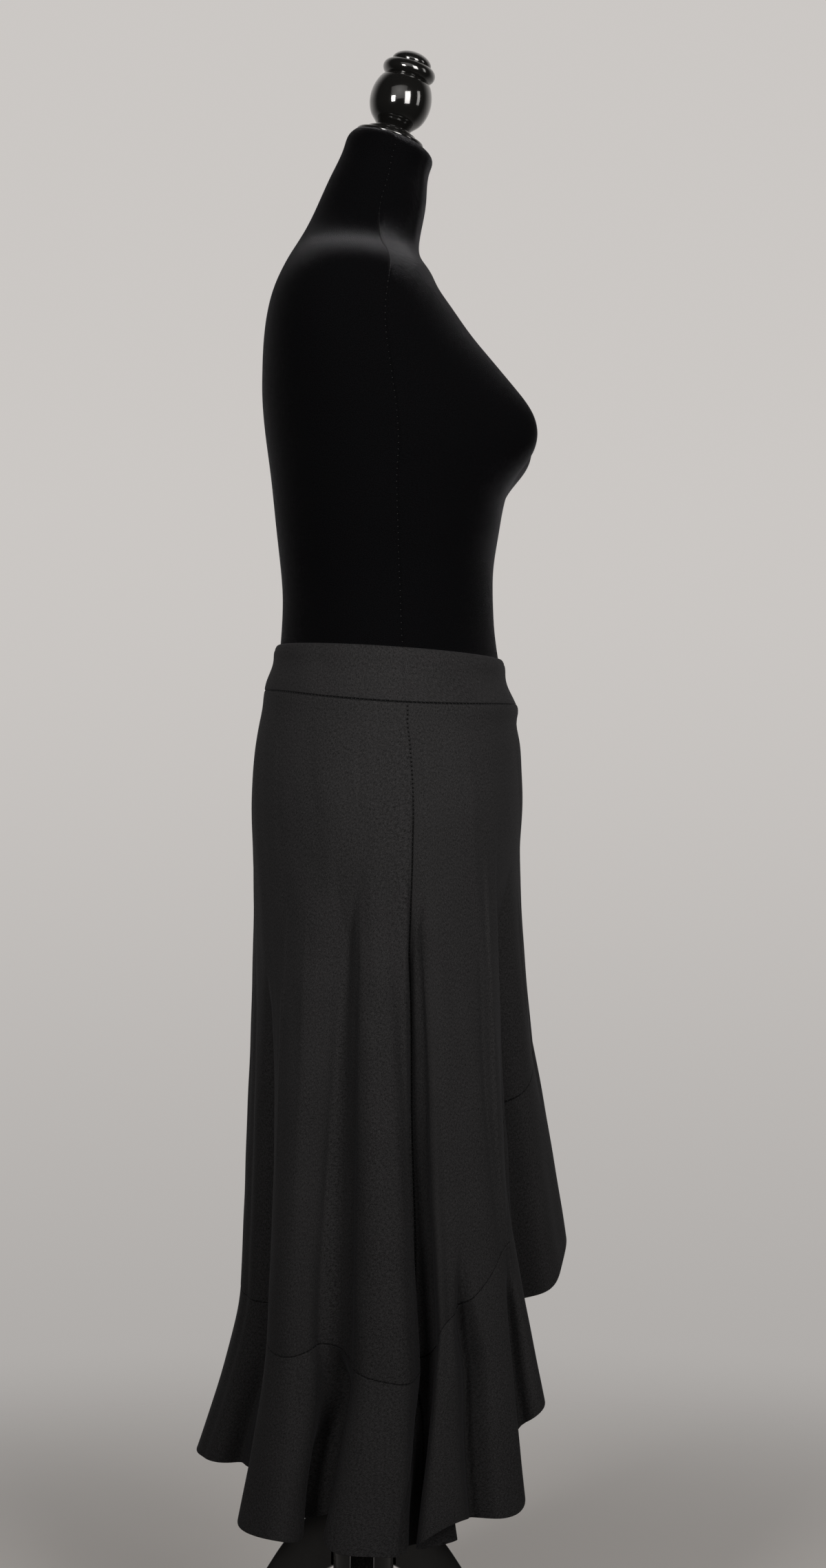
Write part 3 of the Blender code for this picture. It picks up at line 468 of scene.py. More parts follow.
def section_curve(sections):
    """The other columns of a run of sections as smooth functions of the first."""
    table = np.array(sections)
    knots, values = table[:, 0], table[:, 1:]
    slopes = open_slopes(knots, values)
    return lambda places: np.moveaxis(hermite(knots, values, slopes, np.asarray(places, float)), -1, 0)


def line_height(line, turns):
    """The height of a line round the body, given at its back, side and front."""
    ahead = np.cos(np.radians(turns))
    tilt = (line["front"] - line["back"]) / 2
    dip = (line["front"] + line["back"]) / 2 - line["side"]
    return line["side"] + tilt * ahead + dip * ahead**2


def ring(front, back, half_width, turns, roundness=2.0):
    """Distances ahead of the pole and to the right of it, round one section."""
    ahead, aside = np.cos(np.radians(turns)), np.sin(np.radians(turns))
    power = 2.0 / roundness
    middle, half_depth = (front + back) / 2, (front - back) / 2
    return (
        middle + half_depth * np.sign(ahead) * np.abs(ahead) ** power,
        half_width * np.sign(aside) * np.abs(aside) ** power,
    )


def place(ahead, aside, height):
    """World points from distances ahead, to the wearer's right, and up."""
    return np.stack(np.broadcast_arrays(-np.asarray(aside), -np.asarray(ahead), np.asarray(height)), axis=-1)


class Folds:
    """The fold table as smooth functions of the distance along the cloth, all the way round."""

    def __init__(self):
        table = np.array(FOLDS)
        turns, values = table[:, :1], table[:, 1:]
        seam, hem = table[:, 1:3], table[:, 4:6]
        steps = (
            np.linalg.norm(np.roll(seam, -1, axis=0) - seam, axis=1)
            + np.linalg.norm(np.roll(hem, -1, axis=0) - hem, axis=1)
        ) / 2
        self.starts = np.append(0.0, np.cumsum(steps))
        self.knots, self.length = self.starts[:-1], float(self.starts[-1])
        slopes = closed_slopes(self.knots, values, self.length)
        turning = steady_slopes(self.knots, turns[:, 0], self.length, 360.0)[:, None]
        self.values = np.vstack([np.hstack([turns, values]), np.hstack([turns[:1] + 360.0, values[:1]])])
        self.slopes = np.hstack([turning, slopes])
        self.slopes = np.vstack([self.slopes, self.slopes[:1]])

    def at(self, along):
        """Every column of the table at places along the cloth."""
        rounds, within = np.divmod(np.asarray(along, float), self.length)
        values = hermite(self.starts, self.values, self.slopes, within)
        found = {name: values[..., i] for i, name in enumerate(FOLD_COLUMN_NAMES)}
        found["waist_turn"] = found["waist_turn"] + 360.0 * rounds
        return found


skirt_section = section_curve(SKIRT_SECTIONS)
band_section = section_curve(BAND_SECTIONS)


def skirt_base(turns, depth):
    """The skirt's outer face without folds."""
    front, back, half_width = skirt_section(depth)
    return ring(front, back, half_width, turns)


def panel_points(fold, depth):
    """Outer points of the skirt, one row, at a depth below the waist seam in each column."""
    turns = fold["waist_turn"]
    waist = line_height(WAIST_SEAM, turns)
    full_depth = waist - fold["seam_height"]
    ahead, aside = skirt_base(turns, depth)
    seam_ahead, seam_aside = skirt_base(turns, full_depth)
    opened = np.clip((depth - fold["starts"]) / (full_depth - fold["starts"]), 0.0, 1.0)
    power, held_back = FOLD_GROWTH
    growth = opened**power * (1.0 - held_back * (1.0 - opened) ** 2)
    ahead = ahead + growth * (fold["seam_front"] - seam_ahead)
    aside = aside + growth * (fold["seam_side"] - seam_aside)
    return place(ahead, aside, waist - depth)


def ruffle_points(fold, share):
    """Outer points of the ruffle, one row, at a share of the way from its seam to its hem in each column."""
    backward = (1.0 - np.cos(np.radians(fold["waist_turn"]))) / 2
    kick = share ** (RUFFLE_KICK["front"] + backward * (RUFFLE_KICK["back"] - RUFFLE_KICK["front"]))
    return place(
        fold["seam_front"] + kick * (fold["hem_front"] - fold["seam_front"]),
        fold["seam_side"] + kick * (fold["hem_side"] - fold["seam_side"]),
        fold["seam_height"] + share * (fold["hem_height"] - fold["seam_height"]),
    )


def band_points(turns, share):
    """Outer points of the waistband, one row, at a share of its height from the top edge."""
    front, back, half_width = band_section(share)
    ahead, aside = ring(front, back, half_width, turns)
    top, bottom = line_height(WAIST_TOP, turns), line_height(WAIST_SEAM, turns)
    return place(ahead, aside, top + share * (bottom - top))


def form_points(row, turns):
    """One section of the dress form."""
    ahead, aside = ring(row["front"], row["back"], row["half_width"], turns, row["round"])
    around = (np.asarray(turns) + 180.0) % 360.0 - 180.0
    swell = np.exp(-(((np.abs(around) - BUST_TURN) / BUST_SPREAD) ** 2))
    heights = line_height({"back": row["z_back"], "side": row["z_side"], "front": row["z_front"]}, turns)
    return place(ahead + row["bust"] * swell, aside, heights)


def unit(vectors):
    """Vectors brought to a length of 1."""
    return vectors / np.linalg.norm(vectors, axis=-1, keepdims=True)


def around_body(points):
    """The way round the body at each point of a grid whose columns run round it."""
    return np.roll(points, -1, axis=1) - np.roll(points, 1, axis=1)


def outward(points):
    """Unit normals of a grid of rows, top to bottom, whose columns run round the body."""
    normals = unit(np.cross(np.gradient(points, axis=0), around_body(points)))
    centre = points.mean(axis=1, keepdims=True)
    facing = ((points - centre) * normals)[..., :2].sum()
    return normals * np.sign(facing)


def drawn_in(points, distance):
    """A ring of points moved in level towards its own inside."""
    across = around_body(points[None])[0]
    sideways = unit(np.stack([across[:, 1], -across[:, 0], np.zeros(len(points))], axis=-1))
    facing = np.sign(((points - points.mean(axis=0)) * sideways).sum())
    return points - distance * facing * sideways


def run_lengths(points, axis):
    """Distances along a grid of points from its first row or column."""
    steps = np.linalg.norm(np.diff(points, axis=axis), axis=-1)
    start = np.zeros_like(np.take(steps, [0], axis=axis))
    return np.concatenate([start, np.cumsum(steps, axis=axis)], axis=axis)


def graded(start, end, near, step):
    """Places from start to end, at the given small distances from both ends and evenly between."""
    near = np.array(near)
    count = max(2, round((end - start - 2 * near[-1]) / step))
    middle = np.linspace(start + near[-1], end - near[-1], count + 1)
    return np.concatenate([start + near[:-1], middle, end - near[:-1][::-1]])


def rolled_under(distance, reach, depth):
    """How far an edge's cloth is turned in, at a distance from the seam: a quarter circle."""
    share = np.clip(distance / reach, 0.0, 1.0)
    return depth * (1.0 - np.sqrt(np.clip(1.0 - (1.0 - share) ** 2, 0.0, 1.0)))


# Meshes


def turned_in(mesh):
    """Whether a closed mesh has its faces turned inwards."""
    mesh.calc_loop_triangles()
    corners = np.empty(len(mesh.loop_triangles) * 3, np.int32)
    mesh.loop_triangles.foreach_get("vertices", corners)
    places = np.empty(len(mesh.vertices) * 3, np.float32)
    mesh.vertices.foreach_get("co", places)
    first, second, third = np.moveaxis(places.reshape(-1, 3)[corners].reshape(-1, 3, 3), 1, 0)
    return np.einsum("ij,ij->", first, np.cross(second, third)) < 0


def add_mesh(name, points, faces, material, uv=None, sharp=None):
    """A mesh object, shaded smooth, its faces turned outwards."""
    mesh = bpy.data.meshes.new(name)
    mesh.from_pydata(np.asarray(points, np.float32), [], faces)
    if turned_in(mesh):
        mesh.flip_normals()
    if uv is not None:
        layer = mesh.uv_layers.new(name="cloth")
        corners = np.empty(len(mesh.loops), np.int32)
        mesh.loops.foreach_get("vertex_index", corners)
        layer.data.foreach_set("uv", np.asarray(uv, np.float32)[corners].ravel())
    mesh.validate()
    mesh.shade_smooth()
    if sharp:
        mesh.set_sharp_from_angle(angle=math.radians(sharp))
    made = bpy.data.objects.new(name, mesh)
    bpy.context.scene.collection.objects.link(made)
    mesh.materials.append(material)
    return made


def shell(name, outer, inner, uv, material, seam, round_top=False, round_hem=False):
    """A closed sheet of cloth between an outer and an inner grid, its top and hem rounded over if asked."""
    rows, columns = outer.shape[:2]

    def rounded(at, push):
        middle, half = (outer[at] + inner[at]) / 2, (outer[at] - inner[at]) / 2
        lift = np.linalg.norm(half, axis=-1, keepdims=True) * push
        return [middle + half * math.cos(a) + lift * math.sin(a) for a in np.radians(RIM_ANGLES)]

    hem_rim = rounded(-1, unit(outer[-1] - outer[-2])) if round_hem else []
    top_rim = rounded(0, unit(outer[0] - outer[1]))[::-1] if round_top else []
    loop = np.array([*outer, *hem_rim, *inner[::-1], *top_rim])
    flat = np.array([*uv, *[uv[-1]] * len(hem_rim), *uv[::-1], *[uv[0]] * len(top_rim)])
    count = len(loop)
    here = np.arange(count)[:, None] * columns + np.arange(columns - 1)[None]
    after = np.roll(here, -1, axis=0)
    faces = np.stack([here, here + 1, after + 1, after], axis=-1).reshape(-1, 4).tolist()
    # The two side edges, row by row, with the rims at the hem and at the top closed by one face each
    first_inner = rows + len(hem_rim)
    last = first_inner + rows - 1
    ends = [[row, row + 1, last - row - 1, last - row] for row in range(rows - 1)]
    if round_hem:
        ends.append(list(range(rows - 1, first_inner + 1)))
    if round_top:
        ends.append([*range(last, count), 0])
    for column, way in ((0, -1), (columns - 1, 1)):
        faces += [[row * columns + column for row in face[::way]] for face in ends]
    made = add_mesh(name, loop.reshape(-1, 3), faces, material, flat.reshape(-1, 2))
    # The seam marks on the outer points set the shade painted into each seam's gap
    marks = np.zeros((count, columns, 3), np.float32)
    marks[:rows] = seam
    made.data.attributes.new("seam", "FLOAT_VECTOR", "POINT").data.foreach_set("vector", marks.ravel())
    return made


def tube_faces(rings, capped=False):
    """The faces between rings of points, given by their numbers, with both ends closed if asked."""
    faces = [rings[0][::-1], rings[-1]] if capped else []
    for lower, upper in zip(rings, rings[1:]):
        for side in range(len(lower)):
            after = (side + 1) % len(lower)
            faces.append(list(dict.fromkeys([lower[side], lower[after], upper[after], upper[side]])))
    return faces


def thread_bars(name, seams, material, radius, length):
    """Short rounded bars of thread across each seam: (points, outward, across, pitch, sink) of each line."""
    points, faces = [], []
    angles = 2 * np.pi * np.arange(THREAD_SIDES) / THREAD_SIDES
    for line, out, across, pitch, sink in seams:
        lengths = run_lengths(line[None], 1)[0]
        for along in np.arange(pitch, lengths[-1] - pitch / 2, pitch):
            middle, up, over = (
                np.array([np.interp(along, lengths, column) for column in grid.T])
                for grid in (line, out, across)
            )
            up = unit(up)
            over = unit(over - (over @ up) * up)
            beside = np.cross(up, over)
            rings = []
            for station, size in THREAD_STATIONS:
                rings.append(list(range(len(points), len(points) + THREAD_SIDES)))
                lift = -sink - THREAD_BOW * radius * (2 * station) ** 2
                centre = middle + over * station * length + up * lift
                points += [centre + radius * size * (up * math.sin(a) + beside * math.cos(a)) for a in angles]
            faces += tube_faces(rings, capped=True)
    return add_mesh(name, np.array(points), faces, material)


def straight(*points):
    """The runs of a profile that goes straight from point to point, with a crisp edge at each."""
    return tuple(zip(points, points[1:]))


def lathe(name, runs, material, at=(0.0, 0.0, 0.0), lean=0.0, sides=72):
    """A turned piece from runs of (distance along the axis, radius), each smooth, that meet at edges."""
    profile = [runs[0][0]]
    for run in runs:
        if len(run) == 2:
            profile.append(run[-1])
            continue
        table = np.array(run)
        knots = run_lengths(table[None], 1)[0]
        places = np.linspace(0.0, knots[-1], max(6, round(knots[-1] / LATHE_STEP)) + 1)[1:]
        profile += [tuple(p) for p in hermite(knots, table, open_slopes(knots, table), places)]
    angles = 2 * np.pi * np.arange(sides) / sides
    points, rings = [], []
    for along, radius in profile:
        if radius < 1e-6:
            rings.append([len(points)] * sides)
            points.append((0.0, 0.0, along))
        else:
            rings.append(list(range(len(points), len(points) + sides)))
            points += [(radius * math.cos(a), radius * math.sin(a), along) for a in angles]
    made = add_mesh(name, points, tube_faces(rings), material, sharp=32.0)
    made.rotation_euler = (lean, 0.0, 0.0)
    made.location = at
    return made


def settle(piece, slot, *nodes):
    """The piece moves with the form and stands for its solids."""
    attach(piece, "root")
    if nodes:
        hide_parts(*nodes)
    return piece


# Cloth


def uneven(across, down):
    """Height of the cloth's long, shallow unevenness."""
    return sum(
        height * np.sin(2 * np.pi * (a * across + d * down) + shift) for a, d, shift, height in UNEVENNESS
    )


def creased(points, turns, shares):
    """Height of the creases at each point of a grid, from its points' turns and its rows' shares."""
    total = np.zeros(points.shape[:2])
    across = run_lengths(points, 1)
    rounds = across[:, -1] + np.linalg.norm(points[:, 0] - points[:, -1], axis=-1)
    for height, front_width, back_width, stations in CREASES:
        first, last = stations[0][0], stations[-1][0]
        lines = section_curve(stations)(np.clip(shares, first, last))[0]
        grown = np.clip((shares - first) / CREASE_FADE, 0.0, 1.0)
        if last < 2.0:
            grown = np.minimum(grown, np.clip((last - shares) / CREASE_FADE, 0.0, 1.0))
        strength = grown * grown * (3.0 - 2.0 * grown)
        widening = np.sqrt(np.clip((shares - first) / CREASE_WIDENING, 0.0, 1.0))
        opened = CREASE_START_WIDTH + (1.0 - CREASE_START_WIDTH) * widening
        for row in np.flatnonzero(strength):
            start = turns[row, 0]
            away = across[row] - np.interp(start + (lines[row] - start) % 360.0, turns[row], across[row])
            away = (away + rounds[row] / 2) % rounds[row] - rounds[row] / 2
            width = opened[row] * np.where(away > 0.0, back_width, front_width)
            total[row] += height * strength[row] * np.exp(-((np.abs(away) / width) ** CREASE_POWER))
    return total


def seamed_normals(points, count):
    """Normals of one surface whose rows are doubled at the ruffle's seam."""
    normals = outward(points)
    normals[count - 1] = normals[count] = unit(normals[count - 2] + normals[count + 1])
    return normals


def cloth_grid():
    """The skirt's and the ruffle's outer points on one fine grid, with what the pieces need of it."""
    folds = Folds()
    right, left = folds.knots[RIGHT_SEAM_FOLD], folds.knots[LEFT_SEAM_FOLD]
    back = graded(right, left, CLOTH_EDGE_COLUMNS, CLOTH_STEP)
    front = graded(left, right + folds.length, CLOTH_EDGE_COLUMNS, CLOTH_STEP)
    along = np.concatenate([back, front[1:-1]])

    def away_from(place_of):
        """How far each column is from a place along the cloth, the shorter way round."""
        apart = np.abs(along - place_of)
        return np.minimum(apart, folds.length - apart)

    leaning = np.exp(-((away_from(right) / SEAM_DRIFT_REACH) ** 2))
    drift = section_curve(RIGHT_SEAM_DRIFT)

    def at(share):
        """The folds along one row, drawn aside where the right seam leans."""
        fold = folds.at(along + float(drift(min(share, 1.0))[0]) * leaning)
        return fold, line_height(WAIST_SEAM, fold["waist_turn"]) - fold["seam_height"]

    # The skirt's rows, each a depth, a share of what is left of the way to the ruffle's seam, and a gap there
    plan = [(depth, 0.0, 0.0) for depth in (*WAIST_ROWS, *np.linspace(0.009, UPPER_DEPTH, 22))]
    plan += [(UPPER_DEPTH, share, 0.007) for share in np.linspace(0.0, 1.0, 49)[1:]]
    plan += [(UPPER_DEPTH, 1.0, gap) for gap in reversed(RUFFLE_SEAM_ROWS)]
    rows, turns, shares = [], [], []
    usual = float(np.mean(at(0.0)[1]))
    for depth, share, gap in plan:
        so_far = (depth + share * (usual - depth - gap)) / usual
        fold, full = at(so_far)
        rows.append(panel_points(fold, depth + share * (full - depth - gap)))
        turns.append(fold["waist_turn"])
        shares.append(so_far)
    count = len(rows)
    # The ruffle's rows, as shares of its own depth
    fold, _ = at(1.0)
    drop = fold["seam_height"] - fold["hem_height"]
    hem = [gap / drop for gap in RUFFLE_SEAM_ROWS]
    hem += [(0.0075 + share * (drop - 0.0095)) / drop for share in np.linspace(0.0, 1.0, 23)]
    hem += [1.0 - 0.0008 / drop, np.ones_like(drop)]
    for share in hem:
        rows.append(ruffle_points(fold, share))
        turns.append(fold["waist_turn"])
        shares.append(1.0 + float(np.mean(share)))
    grid = np.array(rows)
    normals = seamed_normals(grid, count)
    down = run_lengths(grid, 0)
    relief = np.clip(down / UNEVEN_FADE["waist"], 0.0, 1.0) ** 2 * uneven(along[None], down)
    for seam in (right, left):
        relief *= np.clip(away_from(seam) / UNEVEN_FADE["seam"], 0.0, 1.0)[None]
    relief += creased(grid, np.array(turns), np.array(shares))
    # No trough reaches the form behind the cloth
    below = np.clip(FORM_BASE - grid[..., 2], 0.0, None)
    deepest, growth, bend = TROUGH_LIMIT
    relief = np.maximum(relief, -deepest - growth * below - bend * below**2)
    grid = grid + relief[..., None] * normals
    return {"points": grid, "normals": seamed_normals(grid, count), "rows": count, "left": len(back) - 1}


def panel_columns(count, left, side):
    """The grid's columns that make up the back or the front."""
    return np.arange(0, left + 1) if side == "back" else np.append(np.arange(left, count), 0)


def fan_map(points, start_width, end_width, length):
    """Flat places on the cloth, in metres, as a flared piece lies when it is cut."""
    down = run_lengths(points, 0)
    spread = (end_width - start_width) / length
    radius = start_width / spread
    around = run_lengths(points[:1], 1)[0]
    angle = (around / around[-1] - 0.5) * spread
    return np.stack([(radius + down) * np.sin(angle)[None], -(radius + down) * np.cos(angle)[None]], axis=-1)


def rolled_edges(outer, normals, sizes, top, bottom, apart, side_seam_shade=1.0):
    """The outer points with the cloth at each seam turned under, and what the cloth's look needs of the seam.

    That is how far the cloth is turned under, which sets the shade painted into the seam's gap, the distance
    along the seam, and how far apart its stitches show.
    """
    across, down = run_lengths(outer, 1), run_lengths(outer, 0)
    side = np.minimum(across, across[:, -1:] - across)
    turned = rolled_under(side, sizes.seam_reach, sizes.seam_roll * SIDE_ROLL)
    at_side = np.ones(down.shape, bool)
    for distance, depth in ((down, top), (down[-1:] - down, bottom)):
        if depth:
            level = rolled_under(distance, sizes.seam_reach, depth)
            at_side &= level <= turned
            turned = np.maximum(turned, level)
    # The first mark is the share of shade painted into the seam's gap, scaled down at the side seams if asked
    gap = np.where(at_side, side_seam_shade, 1.0) * np.clip(turned / sizes.seam_roll, 0.0, 1.0)
    along, shown = np.where(at_side, down, across), np.where(at_side, apart, LEVEL_SEAM_APART)
    return outer - turned[..., None] * normals, np.stack([gap, along, shown], axis=-1)


def build_panels(context):
    """The two skirt panels and the two lengths of ruffle."""
    sizes = context.scene.skirt_cloth
    cloth = cloth_grid()
    crepe, roll, count = crepe_material(), sizes.seam_roll, cloth["rows"]
    made = []
    for side in ("back", "front"):
        columns = panel_columns(cloth["points"].shape[1], cloth["left"], side)
        points, normals = cloth["points"][:, columns], cloth["normals"][:, columns]
        for name, chosen in (("skirt", slice(0, count)), ("ruffle", slice(count, None))):
            outer = points[chosen]
            inner = outer - sizes.gauge * normals[chosen]
            # The stitches of the side seam show apart near the waist, breaking the painted shade in the
            # seam's gap, and close up further down
            apart = RUFFLE_SEAM_APART
            if name == "skirt":
                apart = np.clip((0.13 - run_lengths(outer, 0)) / 0.05, 0.0, 1.0)
            edges = [roll * share for share in EDGE_ROLLS[name]]
            rolled, seam = rolled_edges(outer, normals[chosen], sizes, *edges, apart)
            solid, flat = f"{name}_{side}", fan_map(outer, *CLOTH_FANS[name])
            piece = shell(f"{solid}_cloth", rolled, inner, flat, crepe, seam, round_hem=name == "ruffle")
            made.append((solid, piece))
    return cloth, made


def build_band(context):
    """The waistband's front and back halves."""
    sizes = context.scene.skirt_cloth
    crepe = crepe_material()
    back = graded(RIGHT_SEAM_TURN, LEFT_SEAM_TURN, BAND_EDGE_COLUMNS, BAND_STEP)
    front = graded(LEFT_SEAM_TURN, RIGHT_SEAM_TURN + 360.0, BAND_EDGE_COLUMNS, BAND_STEP)
    turns = np.concatenate([back, front[1:-1]])
    shares = np.array([*BAND_TOP_ROWS, *np.linspace(0.14, 0.92, 20), *BAND_BOTTOM_ROWS])
    grid = np.array([band_points(turns, share) for share in shares])
    sideways = np.array([row - drawn_in(row, 1.0) for row in grid])
    across = np.radians(turns)[None] * BAND_RADIUS
    down = run_lengths(grid, 0)
    relief = 0.6 * uneven(across, down) * np.clip(down / 0.008, 0.0, 1.0)
    # The fold at the top edge is held by a line of stitching a little below it
    depth, level, width = BAND_STITCHING
    relief -= depth * np.exp(-(((shares[:, None] - level) / width) ** 2))
    grid = grid + relief[..., None] * sideways
    inner = np.array([drawn_in(row, sizes.band_gauge) for row in grid])
    made = []
    for side in ("back", "front"):
        columns = panel_columns(grid.shape[1], len(back) - 1, side)
        outer, normals = grid[:, columns], sideways[:, columns]
        flat = np.stack([run_lengths(outer, 1), -run_lengths(outer, 0)], axis=-1)
        # The band's side seams get only a faint painted shade in their gap
        rolled, seam = rolled_edges(outer, normals, sizes, 0.0, sizes.seam_roll, 1.0, side_seam_shade=0.2)
        solid = f"waistband_{side}"
        piece = shell(f"{solid}_cloth", rolled, inner[:, columns], flat, crepe, seam, round_top=True)
        made.append((solid, piece))
    return {"points": grid, "normals": sideways, "left": len(back) - 1}, made


def build_stitches(context, cloth, band):
    """The stitches that show across the side seams, the waist seam and the ruffle's seam."""
    sizes = context.scene.skirt_cloth
    pitch, roll, count = sizes.stitch_pitch, sizes.seam_roll, cloth["rows"]
    seams = []
    for grid, parts in ((cloth, (slice(3, count - 3), slice(count + 3, None))), (band, (slice(None),))):
        across = around_body(grid["points"])
        for column in (0, grid["left"]):
            for rows in parts:
                line = (table[rows, column] for table in (grid["points"], grid["normals"], across))
                seams.append((*line, pitch, roll * 0.55))
    points, normals, down = cloth["points"], cloth["normals"], np.gradient(cloth["points"], axis=0)
    seams.append((points[0], normals[0], down[1], pitch, roll * 0.75))
    seams.append((points[count], normals[count], down[count + 2], pitch * 1.9, roll * 0.35))
    thread = thread_material("black_thread", sizes.thread_colour)
    return thread_bars("seam_stitches", seams, thread, sizes.thread_radius, 0.0016)


# The form, the wood and the stand


def cover_rows(turns_at):
    """Rings of the cover from the base up, each a function of its own turns."""
    rings = []
    for rise, inset in reversed(FORM_BASE_EDGE):
        turns = turns_at(FORM_BASE)
        waist = line_height(WAIST_SEAM, turns)
        ahead, aside = skirt_base(turns, waist - FORM_BASE - rise)
        rings.append(drawn_in(place(ahead, aside, FORM_BASE + rise), FORM_CLEARANCE["skirt"] + inset))
    for depth in np.linspace(FORM_SKIRT_DEPTHS[-1], FORM_SKIRT_DEPTHS[0], 16):
        turns = turns_at(1.0)
        waist = line_height(WAIST_SEAM, turns)
        ahead, aside = skirt_base(turns, np.full_like(turns, depth))
        rings.append(drawn_in(place(ahead, aside, waist - depth), FORM_CLEARANCE["skirt"]))
    for share in (1.0, 0.82, 0.60, 0.35, 0.07):
        rings.append(drawn_in(band_points(turns_at(1.08), share), FORM_CLEARANCE["band"]))
    table = np.array(FORM_SECTIONS)
    knots = table[:, 1]
    slopes = open_slopes(knots, table)
    for height in (*np.linspace(knots[0], knots[-3], 132), *np.linspace(knots[-3], knots[-1], 9)[1:]):
        row = dict(zip(FORM_COLUMN_NAMES, hermite(knots, table, slopes, np.array([height]))[0]))
        rings.append(form_points(row, turns_at(height)))
    return np.array(rings)


def build_cover(context):
    """The velvet cover of the form, with its side seams, and the stitches that show on them."""
    sizes = context.scene.skirt_form
    seam_at = section_curve(COVER_SEAM)

    def turns_at(height):
        """The same number of columns at every height, closer together at the two seams."""
        seam = float(seam_at(np.clip(height, COVER_SEAM[0][0], COVER_SEAM[-1][0]))[0])
        even = np.linspace(0.0, 1.0, 73)[1:-1]
        edge = np.array(COVER_EDGE_COLUMNS)
        parts = []
        for start, end in ((seam, 360.0 - seam), (360.0 - seam, 360.0 + seam)):
            middle = start + edge[-1] + even * (end - start - 2 * edge[-1])
            parts.append(np.concatenate([start + edge, middle, end - edge[::-1]])[:-1])
        return np.concatenate(parts)

    points = cover_rows(turns_at)
    count, columns = points.shape[:2]
    normals = outward(points)
    relief = np.zeros((count, columns))
    seam_columns = (0, columns // 2)
    half_width, share, distance, width = COVER_GROOVE
    for column in seam_columns:
        away = np.linalg.norm(points - points[:, column : column + 1], axis=-1)
        raised = share * np.exp(-(((away - distance) / width) ** 2))
        relief -= sizes.seam_depth * (np.exp(-((away / half_width) ** 2)) - raised)
    relief[: len(FORM_BASE_EDGE)] = 0.0
    points = points + relief[..., None] * normals
    faces = tube_faces(np.arange(count * columns).reshape(count, columns).tolist(), capped=True)
    # Flat places for the nap: round the body, and up it
    arc = run_lengths(np.concatenate([points, points[:, :1]], axis=1), 1)[:, :-1]
    flat = np.stack([arc, run_lengths(points, 0)], axis=-1)
    cover = add_mesh("form_cover", points.reshape(-1, 3), faces, velvet_material(), flat.reshape(-1, 2))
    across, rows, pitch = around_body(points), slice(24, count - 2), sizes.stitch_pitch
    seams = [(points[rows, c], normals[rows, c], across[rows, c], pitch, -0.0001) for c in seam_columns]
    thread = thread_material("grey_thread", sizes.thread_colour)
    return cover, thread_bars("cover_stitches", seams, thread, 0.00016, 0.0012)


def build_neck_wood():
    """The cap on the neck and the turned finial on it."""
    axis = np.array([0.0, -math.sin(NECK_LEAN), math.cos(NECK_LEAN)])
    seat = np.array([0.0, -NECK_TOP["front"], NECK_TOP["height"]]) + SEAT_GAP * axis
    lacquer = lacquer_material()
    cap = lathe("cap_wood", CAP_RUNS, lacquer, at=seat, lean=NECK_LEAN)
    top = seat + (CAP_HEIGHT + SEAT_GAP) * axis
    finial = lathe("finial_wood", FINIAL_RUNS, lacquer, at=top, lean=NECK_LEAN, sides=96)
    return cap, finial


def build_pole():
    """The socket under the form, the pole, and the hub that holds it."""
    steel, lacquer = steel_material(), lacquer_material()
    flange_top = FORM_BASE - SEAT_GAP
    flange_low = flange_top - FLANGE_THICK
    collar_low = flange_low - COLLAR_DROP
    collar_top = flange_low - FLANGE_FILLET
    ease = STEEL_EASE
    socket = lathe(
        "socket_steel",
        (
            *straight(
                (flange_top, 0.0), (flange_top, FLANGE_RADIUS - ease), (flange_top - ease, FLANGE_RADIUS),
                (flange_low + ease, FLANGE_RADIUS), (flange_low, FLANGE_RADIUS - ease),
                (flange_low, COLLAR_RADIUS + FLANGE_FILLET),
            ),
            (
                (flange_low, COLLAR_RADIUS + FLANGE_FILLET),
                (flange_low - 0.3 * FLANGE_FILLET, COLLAR_RADIUS + 0.3 * FLANGE_FILLET),
                (collar_top, COLLAR_RADIUS),
            ),
            *straight(
                (collar_top, COLLAR_RADIUS), (collar_low + ease, COLLAR_RADIUS),
                (collar_low, COLLAR_RADIUS - ease), (collar_low, SOCKET_BORE),
                (flange_low, SOCKET_BORE), (flange_low, 0.0),
            ),
        ),
        steel,
    )
    hub_floor = HUB_TOP - HUB_SOCKET_DEPTH
    low, high = hub_floor + SEAT_GAP, flange_low - SEAT_GAP
    pole_profile = straight(
        (low, 0.0), (low, POLE_RADIUS - ease), (low + ease, POLE_RADIUS), (high - ease, POLE_RADIUS),
        (high, POLE_RADIUS - ease), (high, 0.0),
    )
    pole = lathe("pole_steel", pole_profile, steel)
    soft = HUB_EASE
    hub = lathe(
        "hub_wood",
        (
            ((HUB_BOTTOM, 0.0), (HUB_BOTTOM, HUB_RADIUS - soft)),
            (
                (HUB_BOTTOM, HUB_RADIUS - soft), (HUB_BOTTOM + 0.3 * soft, HUB_RADIUS - 0.3 * soft),
                (HUB_BOTTOM + soft, HUB_RADIUS),
            ),
            ((HUB_BOTTOM + soft, HUB_RADIUS), (HUB_TOP - soft, HUB_RADIUS)),
            (
                (HUB_TOP - soft, HUB_RADIUS), (HUB_TOP - 0.3 * soft, HUB_RADIUS - 0.3 * soft),
                (HUB_TOP, HUB_RADIUS - soft),
            ),
            *straight(
                (HUB_TOP, HUB_RADIUS - soft), (HUB_TOP, SOCKET_BORE),
                (hub_floor, SOCKET_BORE), (hub_floor, 0.0),
            ),
        ),
        lacquer,
    )
    return socket, pole, hub


